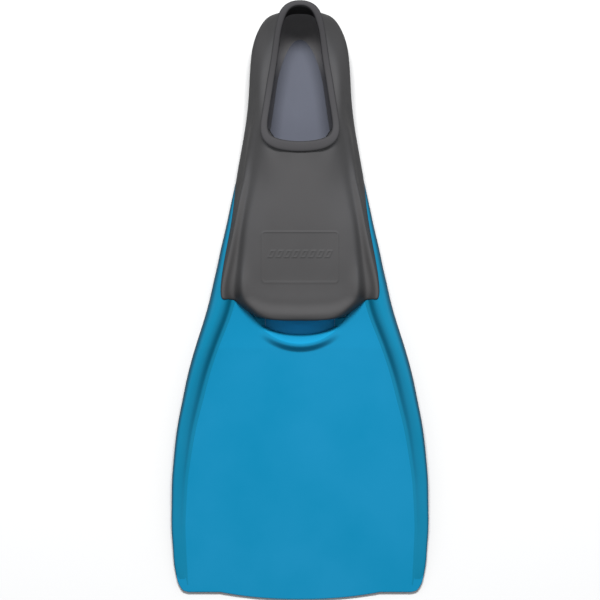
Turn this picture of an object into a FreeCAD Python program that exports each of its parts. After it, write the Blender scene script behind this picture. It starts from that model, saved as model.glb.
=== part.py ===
"""A full-foot swimming training fin, built as eight separate pieces.

Frame: millimetres, +Z up, +Y towards the heel, X across.  The fin stands on its
outsole and on the tip of its blade, and the origin is the middle of its underside.
"""
import FreeCAD, Part
import math
import os
import Sketcher

V = FreeCAD.Vector

# alias, value in millimetres (or degrees), what it is
DIMENSIONS = [
    ("fin_length", 560.0, "heel rim to blade tip"),
    ("widest_half", 120.3, "half width of the blade at its widest"),
    ("root_half", 84.6, "half width of the fin where the rails leave the pocket"),
    ("tip_half", 114.0, "half width of the fin at the tip corners"),
    ("tip_bulge", 5.6, "how far the middle of the tip stands ahead of its shoulders"),
    ("tip_corner", 8.0, "corner radius of the blade tip"),
    ("panel_root_level", 15.6, "mid height of the blade panel at its root"),
    ("panel_root_thick", 3.6, "blade panel thickness at its root"),
    ("panel_tip_thick", 2.4, "blade panel thickness at its tip"),
    ("slope_start", -45.0, "place where the level root of the panel starts to slope down"),
    ("rail_front", -262.0, "front end of each rail"),
    ("lip_radius", 49.7, "plan radius of the raised lip in front of the vent"),
    ("lip_centre", 9.4, "place of the lip arc's centre along the fin"),
    ("lip_level", 22.5, "height of the lip's crest"),
    ("lip_sweep", 46.0, "half angle of the lip's arc"),
    ("lip_reach", 8.5, "how far the lip's outer slope runs beyond its crest"),
    ("lip_bury", 0.3, "how deep the lip's outer slope ends below the panel's top"),
    ("lip_skirt", 3.0, "depth of the lip's outer edge below the panel's top"),
    ("lip_wall", 2.0, "thickness of the lip under its crest"),
    ("vent_overlap", 0.9, "how far the panel reaches in under the lip"),
    ("ramp_radius", 73.0, "plan radius of the foot of the ramp"),
    ("ramp_centre", 40.3, "place of that arc's centre along the fin"),
    ("outsole_thick", 4.0, "outsole thickness"),
    ("plate_thick", 3.0, "sole plate thickness"),
    ("insole_thick", 2.4, "insole thickness"),
    ("tongue_width", 64.5, "width of the sole plate's tongue in the vent"),
    ("plate_heel", 25.0, "sole plate heel radius"),
    ("plate_heel_centre", 218.0, "place of the sole plate heel arc's centre"),
    ("plate_toe", 16.0, "sole plate toe corner radius"),
    ("plate_toe_across", 32.5, "distance of a sole plate toe corner's centre from the middle"),
    ("plate_toe_along", 9.0, "place of the sole plate toe corners' centres along the fin"),
    ("insole_heel", 16.0, "insole heel radius"),
    ("insole_heel_centre", 228.0, "place of the insole heel arc's centre"),
    ("insole_toe", 16.0, "insole toe corner radius"),
    ("insole_toe_across", 25.0, "distance of an insole toe corner's centre from the middle"),
    ("insole_toe_along", 18.0, "place of the insole toe corners' centres along the fin"),
    ("heel_radius", 31.0, "outsole heel radius"),
    ("heel_centre", 219.0, "place of the outsole heel arc's centre"),
    ("toe_corner", 18.0, "outsole toe corner radius"),
    ("toe_corner_across", 33.0, "distance of a toe corner's centre from the middle"),
    ("toe_corner_along", 14.0, "place of the toe corners' centres along the fin"),
    ("tread_pitch", 13.0, "distance between tread grooves"),
    ("tread_count", 17.0, "number of tread grooves"),
    ("tread_first", 14.0, "place of the front tread groove"),
    ("tread_width", 3.0, "width of a tread groove"),
    ("tread_depth", 1.4, "depth of a tread groove"),
    ("rim_radius", 3.3, "radius of the bead round the foot opening"),
    ("rim_sink", 1.2, "height of the bead's centre above the collar line"),
    ("web_inset", 3.0, "how far inside the rails' outer edges the panel ends"),
    ("web_rear", -1.0, "rear end of the panel, hidden under the foot pocket"),
    ("rail_rear", 108.0, "rear end of the blade's outline, beside the instep"),
    ("tool_height", 40.0, "height of the prisms that trim the blade"),
    ("tool_width", 300.0, "width of the box that trims the tip"),
    ("margin", 10.0, "how far a trimming tool stands clear of the fin"),
]

doc = FreeCAD.newDocument("swim_fin")


def make_sheet():
    """The spreadsheet of driving dimensions."""
    made = doc.addObject("Spreadsheet::Sheet", "dimensions")
    for row, (alias, value, note) in enumerate(DIMENSIONS, start=1):
        made.set("A%d" % row, alias)
        made.set("B%d" % row, str(value))
        made.setAlias("B%d" % row, alias)
        made.set("C%d" % row, note)
    doc.recompute()
    return made


sheet = make_sheet()


def size(alias):
    """One driving dimension."""
    return float(sheet.get(alias))


def feature(name, shape):
    """A document object that holds a free-form shape."""
    made = doc.addObject("Part::Feature", name)
    made.Shape = shape
    made.Placement = FreeCAD.Placement()
    return made


def boolean(kind, name, base, tool):
    """A Part::Cut or Part::Common of two document objects."""
    made = doc.addObject(kind, name)
    made.Base = base
    made.Tool = tool
    return made


def fuse(name, *pieces):
    """Several document objects joined into one."""
    made = doc.addObject("Part::MultiFuse", name)
    made.Shapes = list(pieces)
    return made


def bound_box(name, **formulas):
    """A Part::Box whose sizes and place are formulas on the sheet."""
    made = doc.addObject("Part::Box", name)
    for key, formula in formulas.items():
        where = key if key in ("Length", "Width", "Height") else ".Placement.Base." + key
        made.setExpression(where, formula)
    return made


def spline(points):
    """A smooth curve through points, with evenly spaced knots."""
    curve = Part.BSplineCurve()
    steps = [index / (len(points) - 1.0) for index in range(len(points))]
    curve.interpolate(Points=points, Parameters=steps)
    return curve


def closed_spline(points):
    """A smooth closed curve through points, with evenly spaced knots."""
    curve = Part.BSplineCurve()
    steps = [index / float(len(points)) for index in range(len(points) + 1)]
    curve.interpolate(Points=points, PeriodicFlag=True, Parameters=steps)
    return curve


def mirrored(points):
    """The same points on the other side, in reverse order."""
    return [V(-p.x, p.y, p.z) for p in reversed(points)]


# ---------------------------------------------------------------- blade

TIP = -size("fin_length") / 2.0
SHOULDER = TIP + size("tip_bulge")


def side_points(inset=0.0):
    """The fin's right-hand edge in plan, from beside the instep to the tip corner."""
    root = size("root_half")
    widest = size("widest_half")
    plan = [
        (root - 23.4, size("rail_rear")),
        (root - 11.2, 47.0),
        (root, 0.0),
        (root + 17.0, -56.0),
        (root + 25.3, -94.0),
        (widest - 2.9, -140.0),
        (widest, -190.0),
        (widest - 1.3, -232.0),
        (size("tip_half"), SHOULDER + size("tip_corner")),
    ]
    return [V(x - inset, y, 0) for x, y in plan]


def edge_half(y):
    """Half width of the fin at one place along it."""
    hit = spline(side_points()).intersect(Part.Plane(V(0, y, 0), V(0, 1, 0)))[0][0]
    return hit.X


def tip_edges():
    """The tip in plan: two rounded corners and a bulge in the middle."""
    corner = size("tip_corner")
    side_end = side_points()[-1]
    turn = V(side_end.x - corner, SHOULDER, 0)
    bend = corner * (1.0 - math.sqrt(0.5))
    middle = V(side_end.x - bend, SHOULDER + bend, 0)
    bulge = [turn, V(66.0, SHOULDER - 0.8, 0), V(41.0, SHOULDER - 4.2, 0), V(0, TIP, 0)]
    whole = bulge + mirrored(bulge[:-1])
    left_middle = V(-middle.x, middle.y, 0)
    left_end = V(-side_end.x, side_end.y, 0)
    return [
        Part.Arc(side_end, middle, turn).toShape(),
        spline(whole).toShape(),
        Part.Arc(whole[-1], left_middle, left_end).toShape(),
    ]


def blade_prism(height):
    """A prism over the blade's whole plan outline."""
    side = side_points()
    other = mirrored(side)
    edges = [spline(side).toShape()] + tip_edges()
    edges += [spline(other).toShape(), Part.makeLine(other[-1], side[0])]
    return Part.Face(Part.Wire(Part.__sortEdges__(edges))).extrude(V(0, 0, height))


def web_prism(height, inset):
    """A prism over the part of the outline between the crests of the rails."""
    side = side_points(inset)
    other = mirrored(side)
    edges = [spline(side).toShape(), Part.makeLine(side[-1], other[0])]
    edges += [spline(other).toShape(), Part.makeLine(other[-1], side[0])]
    return Part.Face(Part.Wire(Part.__sortEdges__(edges))).extrude(V(0, 0, height))


def panel_level(y):
    """Mid height of the panel, which slopes down until its tip rests on the ground."""
    root_y = size("slope_start")
    tip_level = size("panel_tip_thick") / 2.0
    slope = (size("panel_root_level") - tip_level) / (root_y - TIP)
    return tip_level + slope * (min(y, root_y) - TIP)


def panel_half_thickness(y):
    """Half the thickness of the blade panel."""
    part = (min(y, 0.0) - TIP) / (0.0 - TIP)
    tip = size("panel_tip_thick")
    return 0.5 * (tip + (size("panel_root_thick") - tip) * part)


def panel_slab():
    """A wide slab with the blade's side profile."""
    wide = size("widest_half") + size("margin")
    ys = [size("web_rear"), size("slope_start"), TIP - size("margin")]
    top = [V(-wide, y, panel_level(y) + panel_half_thickness(y)) for y in ys]
    under = [V(-wide, y, panel_level(y) - panel_half_thickness(y)) for y in reversed(ys)]
    ring = Part.makePolygon(top + under + [top[0]])
    return Part.Face(ring).extrude(V(2 * wide, 0, 0))


def lip_section(angle):
    """One section of the lip: ramp foot, crest, outer slope and underside."""
    crest_out = size("lip_radius")
    apart = size("ramp_centre") - size("lip_centre")
    root = size("ramp_radius") ** 2 - (apart * math.sin(angle)) ** 2
    foot_out = math.sqrt(root) - apart * math.cos(angle)
    fade = abs(angle) / math.radians(size("lip_sweep"))
    plate_under = size("outsole_thick")
    plate_top = plate_under + size("plate_thick")
    panel_top = size("panel_root_level") + size("panel_root_thick") / 2.0
    bury = size("lip_bury")
    wall = size("lip_wall")
    crest = size("lip_level") - (size("lip_level") - panel_top - bury) * fade ** 2
    slope_end = crest_out + size("lip_reach")
    profile = [
        (foot_out, plate_top),
        (crest_out, crest),
        (slope_end, panel_top - bury),
        (slope_end, panel_top - size("lip_skirt")),
        (crest_out + wall, plate_top + wall),
        (foot_out + bury * wall, plate_under),
    ]
    points = []
    for out, level in profile:
        points.append(V(out * math.sin(angle), size("lip_centre") - out * math.cos(angle), level))
    return Part.makePolygon(points + [points[0]])


def lip_solid():
    """The raised lip that turns up from the vent floor."""
    half = math.radians(size("lip_sweep"))
    steps = 5
    angles = [half * step / steps for step in range(-steps, steps + 1)]
    return Part.makeLoft([lip_section(angle) for angle in angles], True, True)


# Along each rail: place, width, crest's distance inside the edge, crest above the
# panel, keel below the panel.
RAIL_SECTIONS = [
    (104.0, 6.5, 2.6, 5.5, 6.0),
    (70.0, 10.5, 4.6, 8.0, 8.5),
    (35.0, 15.5, 7.2, 10.0, 11.0),
    (0.0, 21.5, 10.0, 11.3, 12.0),
    (-30.0, 21.5, 8.8, 11.5, 10.8),
    (-60.0, 20.8, 7.2, 10.8, 9.3),
    (-95.0, 19.0, 5.6, 9.0, 7.0),
    (-140.0, 16.2, 5.0, 6.4, 4.6),
    (-187.0, 13.6, 4.2, 4.3, 3.0),
    (-230.0, 12.2, 3.6, 2.8, 2.0),
    (-262.0, 11.0, 3.2, 2.0, 1.4),
]


def rail_section(row, side):
    """One closed rail section: a rounded ridge on a shallow keel."""
    y, width, crest_in, rise, keel = row
    outer = edge_half(y)
    inner = outer - width
    middle = panel_level(y)
    crest = outer - crest_in
    plan = [
        (crest - 1.0, middle - keel),
        (outer - crest_in * 0.22, middle - keel * 0.55),
        (outer, middle),
        (outer - crest_in * 0.36, middle + rise * 0.72),
        (crest, middle + rise),
        (inner + (crest - inner) * 0.55, middle + rise * 0.62),
        (inner, middle + 0.3),
        (inner + (crest - inner) * 0.45, middle - keel * 0.62),
    ]
    return Part.Wire([closed_spline([V(side * x, y, z) for x, z in plan]).toShape()])


def rail_solid(side):
    """A whole rail on side +1 or -1."""
    return Part.makeLoft([rail_section(row, side) for row in RAIL_SECTIONS], True, False)


# ---------------------------------------------------------------- foot pocket

# Right half of the outer skin: place along the fin, then the wall's foot, flank,
# sleeve crest, valley, toe ridge, top and middle as (across, up).
POCKET_SECTIONS = [
    (277.4, [(7.0, 52), (9.0, 55), (10.5, 58), (11.0, 61), (10.0, 65.5), (7, 69), (0, 71)]),
    (272.0, [(9.5, 33), (15.0, 37), (18.5, 43), (19.5, 51), (17.5, 62), (10, 69), (0, 71)]),
    (266.5, [(13, 19), (21.5, 25), (26, 35), (25.5, 48), (21.5, 61), (13, 68), (0, 70.5)]),
    (258.0, [(20, 8), (31, 17), (34.5, 33), (30.5, 47), (23.5, 58), (14, 64.5), (0, 67)]),
    (245.0, [(28, 4), (40.5, 18), (39.5, 34), (32, 46), (24.0, 55), (14, 61), (0, 63)]),
    (224.0, [(35, 4), (45.3, 18), (41.5, 34), (34, 44), (25.5, 51.5), (14, 57), (0, 59)]),
    (190.0, [(40, 4), (48.2, 18), (44, 35), (38, 46), (31, 54), (18, 61), (0, 64)]),
    (166.0, [(45, 4), (50.4, 17), (45, 36), (40.5, 48), (35, 59), (21, 68), (0, 71)]),
    (143.0, [(50, 4), (54, 17), (47, 37), (43, 46), (37, 56), (22, 68), (0, 73)]),
    (112.0, [(56, 4), (58.5, 16), (51.5, 37), (46.5, 42.5), (39, 50), (22, 62), (0, 67)]),
    (70.0, [(63.5, 4), (65.5, 15), (59, 34), (54.5, 35.5), (48.5, 42), (28, 53), (0, 57)]),
    (30.0, [(71.0, 4), (72.5, 15), (68, 31.5), (60, 29), (53.5, 36), (32, 42), (0, 44)]),
    (0.0, [(73, 4), (74.5, 14), (72, 30), (62, 26), (54.5, 33), (34, 35), (0, 37)]),
    (-24.0, [(73, 4), (74.5, 14), (72, 30), (62, 25), (54, 32), (34, 34.5), (0, 36)]),
]

# Right half of the space for the foot, in the same order: place, how low it is cut
# through the sole, and its points from the floor up
CAVITY_SECTIONS = [
    (268.0, 36.0, [(9, 37), (14, 41), (18, 47), (18.5, 53), (16.5, 60), (9, 65), (0, 67)]),
    (262.0, 23.0, [(14, 24), (21, 29), (25, 37), (24.5, 47), (20, 57.5), (10.5, 63.5), (0, 66)]),
    (254.0, 12.0, [(19, 13), (28, 19), (32, 31), (28.5, 44), (21.5, 54), (11.5, 60.5), (0, 63)]),
    (243.0, -1.0, [(26, 8), (36.5, 15), (36, 32), (29.3, 43.2), (21.7, 51.6), (12, 57), (0, 59.3)]),
    (224.0, -1.0, [(31, 7), (41, 15), (38.2, 32.3), (31, 41.5), (23.2, 48.6), (12.5, 53.6), (0, 55.7)]),
    (190.0, -1.0, [(35, 7), (44, 15), (40.6, 33), (35, 43.3), (28.5, 51), (16.5, 57.7), (0, 60.6)]),
    (166.0, -1.0, [(38, 7), (45.3, 15), (41.5, 34), (37.3, 45.6), (32.4, 56), (19.2, 64.7), (0, 67.6)]),
    (143.0, -1.0, [(40, 7), (46, 14), (43.4, 34), (39.8, 43.6), (34.4, 53.2), (20.5, 64.8), (0, 69.6)]),
    (112.0, -1.0, [(42, 7), (47.5, 14), (46.5, 29), (43, 39.6), (36.6, 47), (20.5, 58.7), (0, 63.6)]),
    (70.0, -1.0, [(46, 7), (50, 14), (50, 24), (48.5, 32), (45, 38.6), (26.5, 49.6), (0, 53.6)]),
    (30.0, -1.0, [(49, 7), (52, 13), (52, 19), (51.5, 25.5), (49.3, 31.6), (30.5, 37.4), (0, 39.4)]),
    (0.0, -1.0, [(48, 7), (50.5, 12), (50.5, 17), (50, 22), (48, 26.3), (31.5, 28.5), (0, 30.4)]),
    (-40.0, -1.0, [(46, 7), (48.5, 12), (48.5, 17), (48, 22), (46, 26), (31, 28), (0, 30)]),
]

# Half of the front edge in plan, from the sleeve's end to the middle of the toe lip
LIP_PLAN = [(62.5, 0.4), (57.5, -3.6), (51.0, -9.0), (43.0, -14.6), (30.0, -18.0), (0.0, -19.6)]

# Side view of the collar, where the pocket's wall ends and the bead sits: along, up
COLLAR = [
    (137.0, 75.5),
    (143.0, 71.6),
    (150.0, 66.8),
    (158.0, 62.0),
    (168.0, 57.8),
    (187.0, 53.0),
    (208.0, 50.0),
    (226.0, 50.0),
    (242.0, 53.5),
    (255.0, 58.5),
    (267.0, 64.0),
    (278.0, 67.6),
    (292.0, 69.5),
]

# Half width and height of the tools that trim the pocket, clear of it all round
CLEAR_HALF = 100.0
CLEAR_HEIGHT = 110.0

# Half of the bead's centre line in plan, from the heel to the instep
RIM_PLAN = [
    (0.0, 276.45),
    (9.5, 275.0),
    (16.8, 268.0),
    (20.6, 252.5),
    (24.3, 224.4),
    (30.0, 190.0),
    (33.4, 166.0),
    (30.0, 152.5),
    (18.0, 145.6),
    (0.0, 143.2),
]


def skin_wire(y, points, base=None):
    """A closed section: the curved skin over a straight base."""
    right = [V(x, y, z) for x, z in points]
    whole = right + mirrored(right[:-1])
    edges = [spline(whole).toShape()]
    if base is None:
        edges += [Part.makeLine(whole[-1], whole[0])]
    else:
        foot = V(right[0].x, y, base)
        other = V(-foot.x, y, base)
        edges += [
            Part.makeLine(whole[-1], other),
            Part.makeLine(other, foot),
            Part.makeLine(foot, whole[0]),
        ]
    return Part.Wire(Part.__sortEdges__(edges))


def pocket_skin():
    """The pocket's outer shape, solid, from beyond the toe lip to the heel."""
    return Part.makeLoft([skin_wire(y, points) for y, points in POCKET_SECTIONS], True, False)


def foot_cavity():
    """The space for the foot, open at the toe mouth and down through the sole."""
    wires = [skin_wire(y, points, floor) for y, floor, points in CAVITY_SECTIONS]
    return Part.makeLoft(wires, True, False)


def pocket_front():
    """A prism behind the curved front edge of the pocket."""
    half = [V(x, y, 0) for x, y in LIP_PLAN]
    front = spline(half + mirrored(half[:-1])).toShape()
    start = half[0]
    end = V(-start.x, start.y, 0)
    wide = size("root_half") + size("margin")
    rear = size("fin_length") / 2.0 + size("margin")
    right = [V(wide, rear, 0), V(wide, start.y, 0), start]
    back = [end, V(-wide, end.y, 0), V(-wide, rear, 0)] + right
    sides = [Part.makeLine(a, b) for a, b in zip(back, back[1:])]
    return Part.Face(Part.Wire([front] + sides)).extrude(V(0, 0, CLEAR_HEIGHT))


def collar_curve():
    """The collar line in side view."""
    return spline([V(-CLEAR_HALF, y, z) for y, z in COLLAR])


def collar_level(y):
    """Height of the collar line at one place along the fin."""
    return collar_curve().intersect(Part.Plane(V(0, y, 0), V(0, 1, 0)))[0][0].Z


def above_collar():
    """Everything above the collar line, as a block right across the fin."""
    curve = collar_curve()
    front = V(-CLEAR_HALF, COLLAR[0][0], CLEAR_HEIGHT)
    back = V(-CLEAR_HALF, COLLAR[-1][0], CLEAR_HEIGHT)
    start = V(-CLEAR_HALF, *COLLAR[0])
    end = V(-CLEAR_HALF, *COLLAR[-1])
    sides = [Part.makeLine(end, back), Part.makeLine(back, front), Part.makeLine(front, start)]
    return Part.Face(Part.Wire([curve.toShape()] + sides)).extrude(V(2.0 * CLEAR_HALF, 0, 0))


def rim_tube():
    """One side of the bead before it is trimmed: a round section swept along it."""
    right = [V(x, y, collar_level(y) + size("rim_sink")) for x, y in RIM_PLAN]
    path = Part.BSplineCurve()
    path.interpolate(Points=right + mirrored(right[1:-1]), PeriodicFlag=True)
    path.segment(path.FirstParameter, 0.5 * (path.FirstParameter + path.LastParameter))
    ring = Part.makeCircle(size("rim_radius"), right[0], V(1, 0, 0))
    return Part.Wire([path.toShape()]).makePipeShell([Part.Wire([ring])], True, False)


def make_rim(collar):
    """The bead: one side trimmed flat on the collar line, and its mirror image."""
    tube = feature("rim_tube", rim_tube())
    right = boolean("Part::Common", "rim_right", tube, collar)
    left = doc.addObject("Part::Mirroring", "rim_left")
    left.Source = right
    left.Normal = (1, 0, 0)
    both = doc.addObject("Part::Compound", "opening_rim")
    both.Links = [right, left]
    return both


# ---------------------------------------------------------------- flat pieces underfoot

def origin_plane(body, role):
    """One of a body's own origin planes."""
    return [item for item in body.Origin.OriginFeatures if item.Role == role][0]


def sketch_on_ground(body, name, height=None):
    """A sketch on a body's own ground plane, raised to a height given as a formula."""
    sketch = body.newObject("Sketcher::SketchObject", name)
    sketch.AttachmentSupport = [(origin_plane(body, "XY_Plane"), "")]
    sketch.MapMode = "FlatFace"
    if height:
        sketch.setExpression(".AttachmentOffset.Base.z", height)
    return sketch


OUTSOLE_SIZES = [
    "heel_radius", "heel_centre", "toe_corner", "toe_corner_across", "toe_corner_along"
]
PLATE_SIZES = [
    "plate_heel", "plate_heel_centre", "plate_toe", "plate_toe_across", "plate_toe_along"
]
INSOLE_SIZES = [
    "insole_heel", "insole_heel_centre", "insole_toe", "insole_toe_across", "insole_toe_along"
]


def draw_sole_outline(sketch, names):
    """Heel arc, two sides, two toe corners and the front edge, all tangent."""
    heel, heel_y, toe, toe_x, toe_y = [size(name) for name in names]
    run = math.hypot(heel_y - toe_y, toe_x)
    tilt = math.atan2(toe_x, heel_y - toe_y) + math.asin((toe - heel) / run)
    z_axis = V(0, 0, 1)
    across = math.cos(tilt)
    along = math.sin(tilt)
    heel_right = V(heel * across, heel_y + heel * along, 0)
    heel_left = V(-heel_right.x, heel_right.y, 0)
    toe_right = V(toe_x + toe * across, toe_y + toe * along, 0)
    toe_left = V(-toe_right.x, toe_right.y, 0)
    front_right = V(toe_x, toe_y - toe, 0)
    front_left = V(-toe_x, toe_y - toe, 0)
    circles = [
        (Part.Circle(V(0, heel_y, 0), z_axis, heel), tilt, math.pi - tilt),
        (Part.Circle(V(toe_x, toe_y, 0), z_axis, toe), -math.pi / 2, tilt),
        (Part.Circle(V(-toe_x, toe_y, 0), z_axis, toe), math.pi - tilt, 1.5 * math.pi),
    ]
    arcs = [Part.ArcOfCircle(circle, start, end) for circle, start, end in circles]
    lines = [
        Part.LineSegment(toe_right, heel_right),
        Part.LineSegment(heel_left, toe_left),
        Part.LineSegment(front_left, front_right),
    ]
    sketch.addGeometry(arcs + lines, False)
    heel_arc, right_arc, left_arc, right_line, left_line, front_line = range(6)
    joints = [
        (right_arc, 2, right_line, 1),
        (right_line, 2, heel_arc, 1),
        (heel_arc, 2, left_line, 1),
        (left_line, 2, left_arc, 1),
        (left_arc, 2, front_line, 1),
        (front_line, 2, right_arc, 1),
    ]
    for joint in joints:
        sketch.addConstraint(Sketcher.Constraint("Tangent", *joint))
    sketch.addConstraint(Sketcher.Constraint("PointOnObject", heel_arc, 3, -2))
    sketch.addConstraint(Sketcher.Constraint("Symmetric", right_arc, 3, left_arc, 3, -2))
    sizes = [
        (Sketcher.Constraint("Radius", heel_arc, heel), names[0]),
        (Sketcher.Constraint("Radius", right_arc, toe), names[2]),
        (Sketcher.Constraint("Equal", right_arc, left_arc), None),
        (Sketcher.Constraint("DistanceY", -1, 1, heel_arc, 3, heel_y), names[1]),
        (Sketcher.Constraint("DistanceX", -1, 1, right_arc, 3, toe_x), names[3]),
        (Sketcher.Constraint("DistanceY", -1, 1, right_arc, 3, toe_y), names[4]),
    ]
    for constraint, alias in sizes:
        index = sketch.addConstraint(constraint)
        if alias:
            sketch.setExpression("Constraints[%d]" % index, "dimensions." + alias)


def draw_groove(sketch):
    """One tread groove: a bar right across the front of the outsole."""
    half = size("toe_corner_across") + size("toe_corner") + size("margin")
    low = size("tread_first") - size("tread_width") / 2.0
    high = low + size("tread_width")
    corners = [V(-half, low, 0), V(half, low, 0), V(half, high, 0), V(-half, high, 0)]
    sides = [Part.LineSegment(a, b) for a, b in zip(corners, corners[1:] + corners[:1])]
    sketch.addGeometry(sides, False)
    for index in range(4):
        sketch.addConstraint(Sketcher.Constraint("Coincident", index, 2, (index + 1) % 4, 1))
    for index, kind in [(1, "Vertical"), (2, "Horizontal"), (3, "Vertical")]:
        sketch.addConstraint(Sketcher.Constraint(kind, index))
    sketch.addConstraint(Sketcher.Constraint("Symmetric", 0, 1, 0, 2, -2))
    sketch.addConstraint(Sketcher.Constraint("DistanceX", 0, 1, 0, 2, 2 * half))
    width = sketch.addConstraint(Sketcher.Constraint("DistanceY", 1, 1, 1, 2, high - low))
    sketch.setExpression("Constraints[%d]" % width, "dimensions.tread_width")
    place = sketch.addConstraint(Sketcher.Constraint("DistanceY", -1, 1, 0, 1, low))
    formula = "dimensions.tread_first - dimensions.tread_width / 2"
    sketch.setExpression("Constraints[%d]" % place, formula)


def make_outsole():
    """The tread: a tapered outline padded up from the ground, with cross grooves."""
    body = doc.addObject("PartDesign::Body", "outsole")
    outline = sketch_on_ground(body, "outsole_outline")
    draw_sole_outline(outline, OUTSOLE_SIZES)
    pad = body.newObject("PartDesign::Pad", "outsole_pad")
    pad.Profile = outline
    pad.setExpression("Length", "dimensions.outsole_thick")
    doc.recompute()

    groove = sketch_on_ground(body, "groove_outline")
    draw_groove(groove)
    pocket = body.newObject("PartDesign::Pocket", "groove")
    pocket.Profile = groove
    pocket.Reversed = True
    pocket.setExpression("Length", "dimensions.tread_depth")
    doc.recompute()
    if pocket.Shape.Volume >= pad.Shape.Volume:
        raise RuntimeError("the tread groove cuts nothing")

    pattern = body.newObject("PartDesign::LinearPattern", "grooves")
    pattern.Originals = [pocket]
    pattern.Direction = (origin_plane(body, "XZ_Plane"), [""])
    pattern.Reversed = True
    pattern.setExpression("Length", "dimensions.tread_pitch * (dimensions.tread_count - 1)")
    pattern.setExpression("Occurrences", "dimensions.tread_count")
    body.Tip = pattern
    doc.recompute()
    return body


def draw_tongue(sketch):
    """The tongue: two straight sides and a front edge curved like the ramp's foot."""
    half = size("tongue_width") / 2.0
    radius = size("ramp_radius")
    centre = V(0, size("ramp_centre"), 0)
    rear = size("plate_toe_along")
    swing = math.asin(half / radius)
    front = centre.y - radius * math.cos(swing)
    arc = Part.ArcOfCircle(
        Part.Circle(centre, V(0, 0, 1), radius), -math.pi / 2 - swing, -math.pi / 2 + swing
    )
    sides = [
        Part.LineSegment(V(half, front, 0), V(half, rear, 0)),
        Part.LineSegment(V(half, rear, 0), V(-half, rear, 0)),
        Part.LineSegment(V(-half, rear, 0), V(-half, front, 0)),
    ]
    sketch.addGeometry([arc] + sides, False)
    for joint in [(0, 2, 1, 1), (1, 2, 2, 1), (2, 2, 3, 1), (3, 2, 0, 1)]:
        sketch.addConstraint(Sketcher.Constraint("Coincident", *joint))
    sketch.addConstraint(Sketcher.Constraint("Vertical", 1))
    sketch.addConstraint(Sketcher.Constraint("Vertical", 3))
    sketch.addConstraint(Sketcher.Constraint("Symmetric", 2, 1, 2, 2, -2))
    sketch.addConstraint(Sketcher.Constraint("PointOnObject", 0, 3, -2))
    sizes = [
        (Sketcher.Constraint("Radius", 0, radius), "dimensions.ramp_radius"),
        (Sketcher.Constraint("DistanceY", -1, 1, 0, 3, centre.y), "dimensions.ramp_centre"),
        (Sketcher.Constraint("DistanceX", 3, 1, 1, 2, 2 * half), "dimensions.tongue_width"),
        (Sketcher.Constraint("DistanceY", -1, 1, 1, 2, rear), "dimensions.plate_toe_along"),
    ]
    for constraint, formula in sizes:
        sketch.setExpression("Constraints[%d]" % sketch.addConstraint(constraint), formula)


def make_sole_plate():
    """The stiff plate under the foot, with a narrower tongue out into the vent."""
    body = doc.addObject("PartDesign::Body", "sole_plate")
    outline = sketch_on_ground(body, "plate_outline", "dimensions.outsole_thick")
    draw_sole_outline(outline, PLATE_SIZES)
    pad = body.newObject("PartDesign::Pad", "plate_pad")
    pad.Profile = outline
    pad.setExpression("Length", "dimensions.plate_thick")
    tongue = sketch_on_ground(body, "tongue_outline", "dimensions.outsole_thick")
    draw_tongue(tongue)
    tongue_pad = body.newObject("PartDesign::Pad", "tongue_pad")
    tongue_pad.Profile = tongue
    tongue_pad.setExpression("Length", "dimensions.plate_thick")
    return body


def make_insole():
    """The soft footbed, padded up from the top of the sole plate."""
    body = doc.addObject("PartDesign::Body", "insole")
    outline = sketch_on_ground(
        body, "insole_outline", "dimensions.outsole_thick + dimensions.plate_thick"
    )
    draw_sole_outline(outline, INSOLE_SIZES)
    pad = body.newObject("PartDesign::Pad", "insole_pad")
    pad.Profile = outline
    pad.setExpression("Length", "dimensions.insole_thick")
    return body


# ---------------------------------------------------------------- assembly


def make_pocket(cavity, front, rails, collar):
    """The grey shoe: skin, trimmed at the toe lip and the collar, hollowed for the foot."""
    skin = feature("pocket_skin", pocket_skin())
    trimmed = boolean("Part::Common", "pocket_trimmed", skin, front)
    low = boolean("Part::Cut", "pocket_low", trimmed, collar)
    hollow = boolean("Part::Cut", "pocket_hollow", low, cavity)
    return boolean("Part::Cut", "foot_pocket", hollow, rails)


def make_panel(rails, front):
    """The thin blade between the rails, with the raised lip round the vent."""
    slab = feature("panel_slab", panel_slab())
    web = feature("panel_web", web_prism(size("tool_height"), size("web_inset")))
    whole = feature("panel_outline", blade_prism(size("tool_height")))
    tip_zone = bound_box(
        "tip_zone",
        Length="dimensions.tool_width",
        Width="dimensions.tool_height",
        Height="dimensions.tool_height",
        x="-dimensions.tool_width / 2",
        y="dimensions.rail_front - dimensions.tool_height",
        z="0",
    )
    tip = boolean("Part::Common", "panel_tip", whole, tip_zone)
    plan = fuse("panel_plan", web, tip)
    sheet_part = boolean("Part::Common", "panel_sheet", slab, plan)
    vent = doc.addObject("Part::Cylinder", "vent_hole")
    vent.setExpression("Radius", "dimensions.lip_radius - dimensions.vent_overlap")
    vent.setExpression("Height", "dimensions.tool_height")
    vent.setExpression(".Placement.Base.y", "dimensions.lip_centre")
    opened = boolean("Part::Cut", "panel_opened", sheet_part, vent)
    lip = feature("vent_lip", lip_solid())
    lipped = fuse("panel_lipped", opened, lip)
    railed = boolean("Part::Cut", "panel_railed", lipped, rails)
    return boolean("Part::Cut", "blade_panel", railed, front)


def make_parts():
    """All eight pieces, keyed by their names."""
    cavity = feature("foot_cavity", foot_cavity())
    front = feature("pocket_front", pocket_front())
    collar = feature("above_collar", above_collar())
    left = feature("rail_left", rail_solid(-1))
    right = feature("rail_right", rail_solid(1))
    rails = fuse("rail_pair", left, right)
    parts = {
        "outsole": make_outsole(),
        "sole_plate": make_sole_plate(),
        "insole": make_insole(),
        "foot_pocket": make_pocket(cavity, front, rails, collar),
        "opening_rim": make_rim(collar),
        "rail_left": left,
        "rail_right": right,
        "blade_panel": make_panel(rails, front),
    }
    for name, part in parts.items():
        part.Label = name
    return parts


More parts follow.
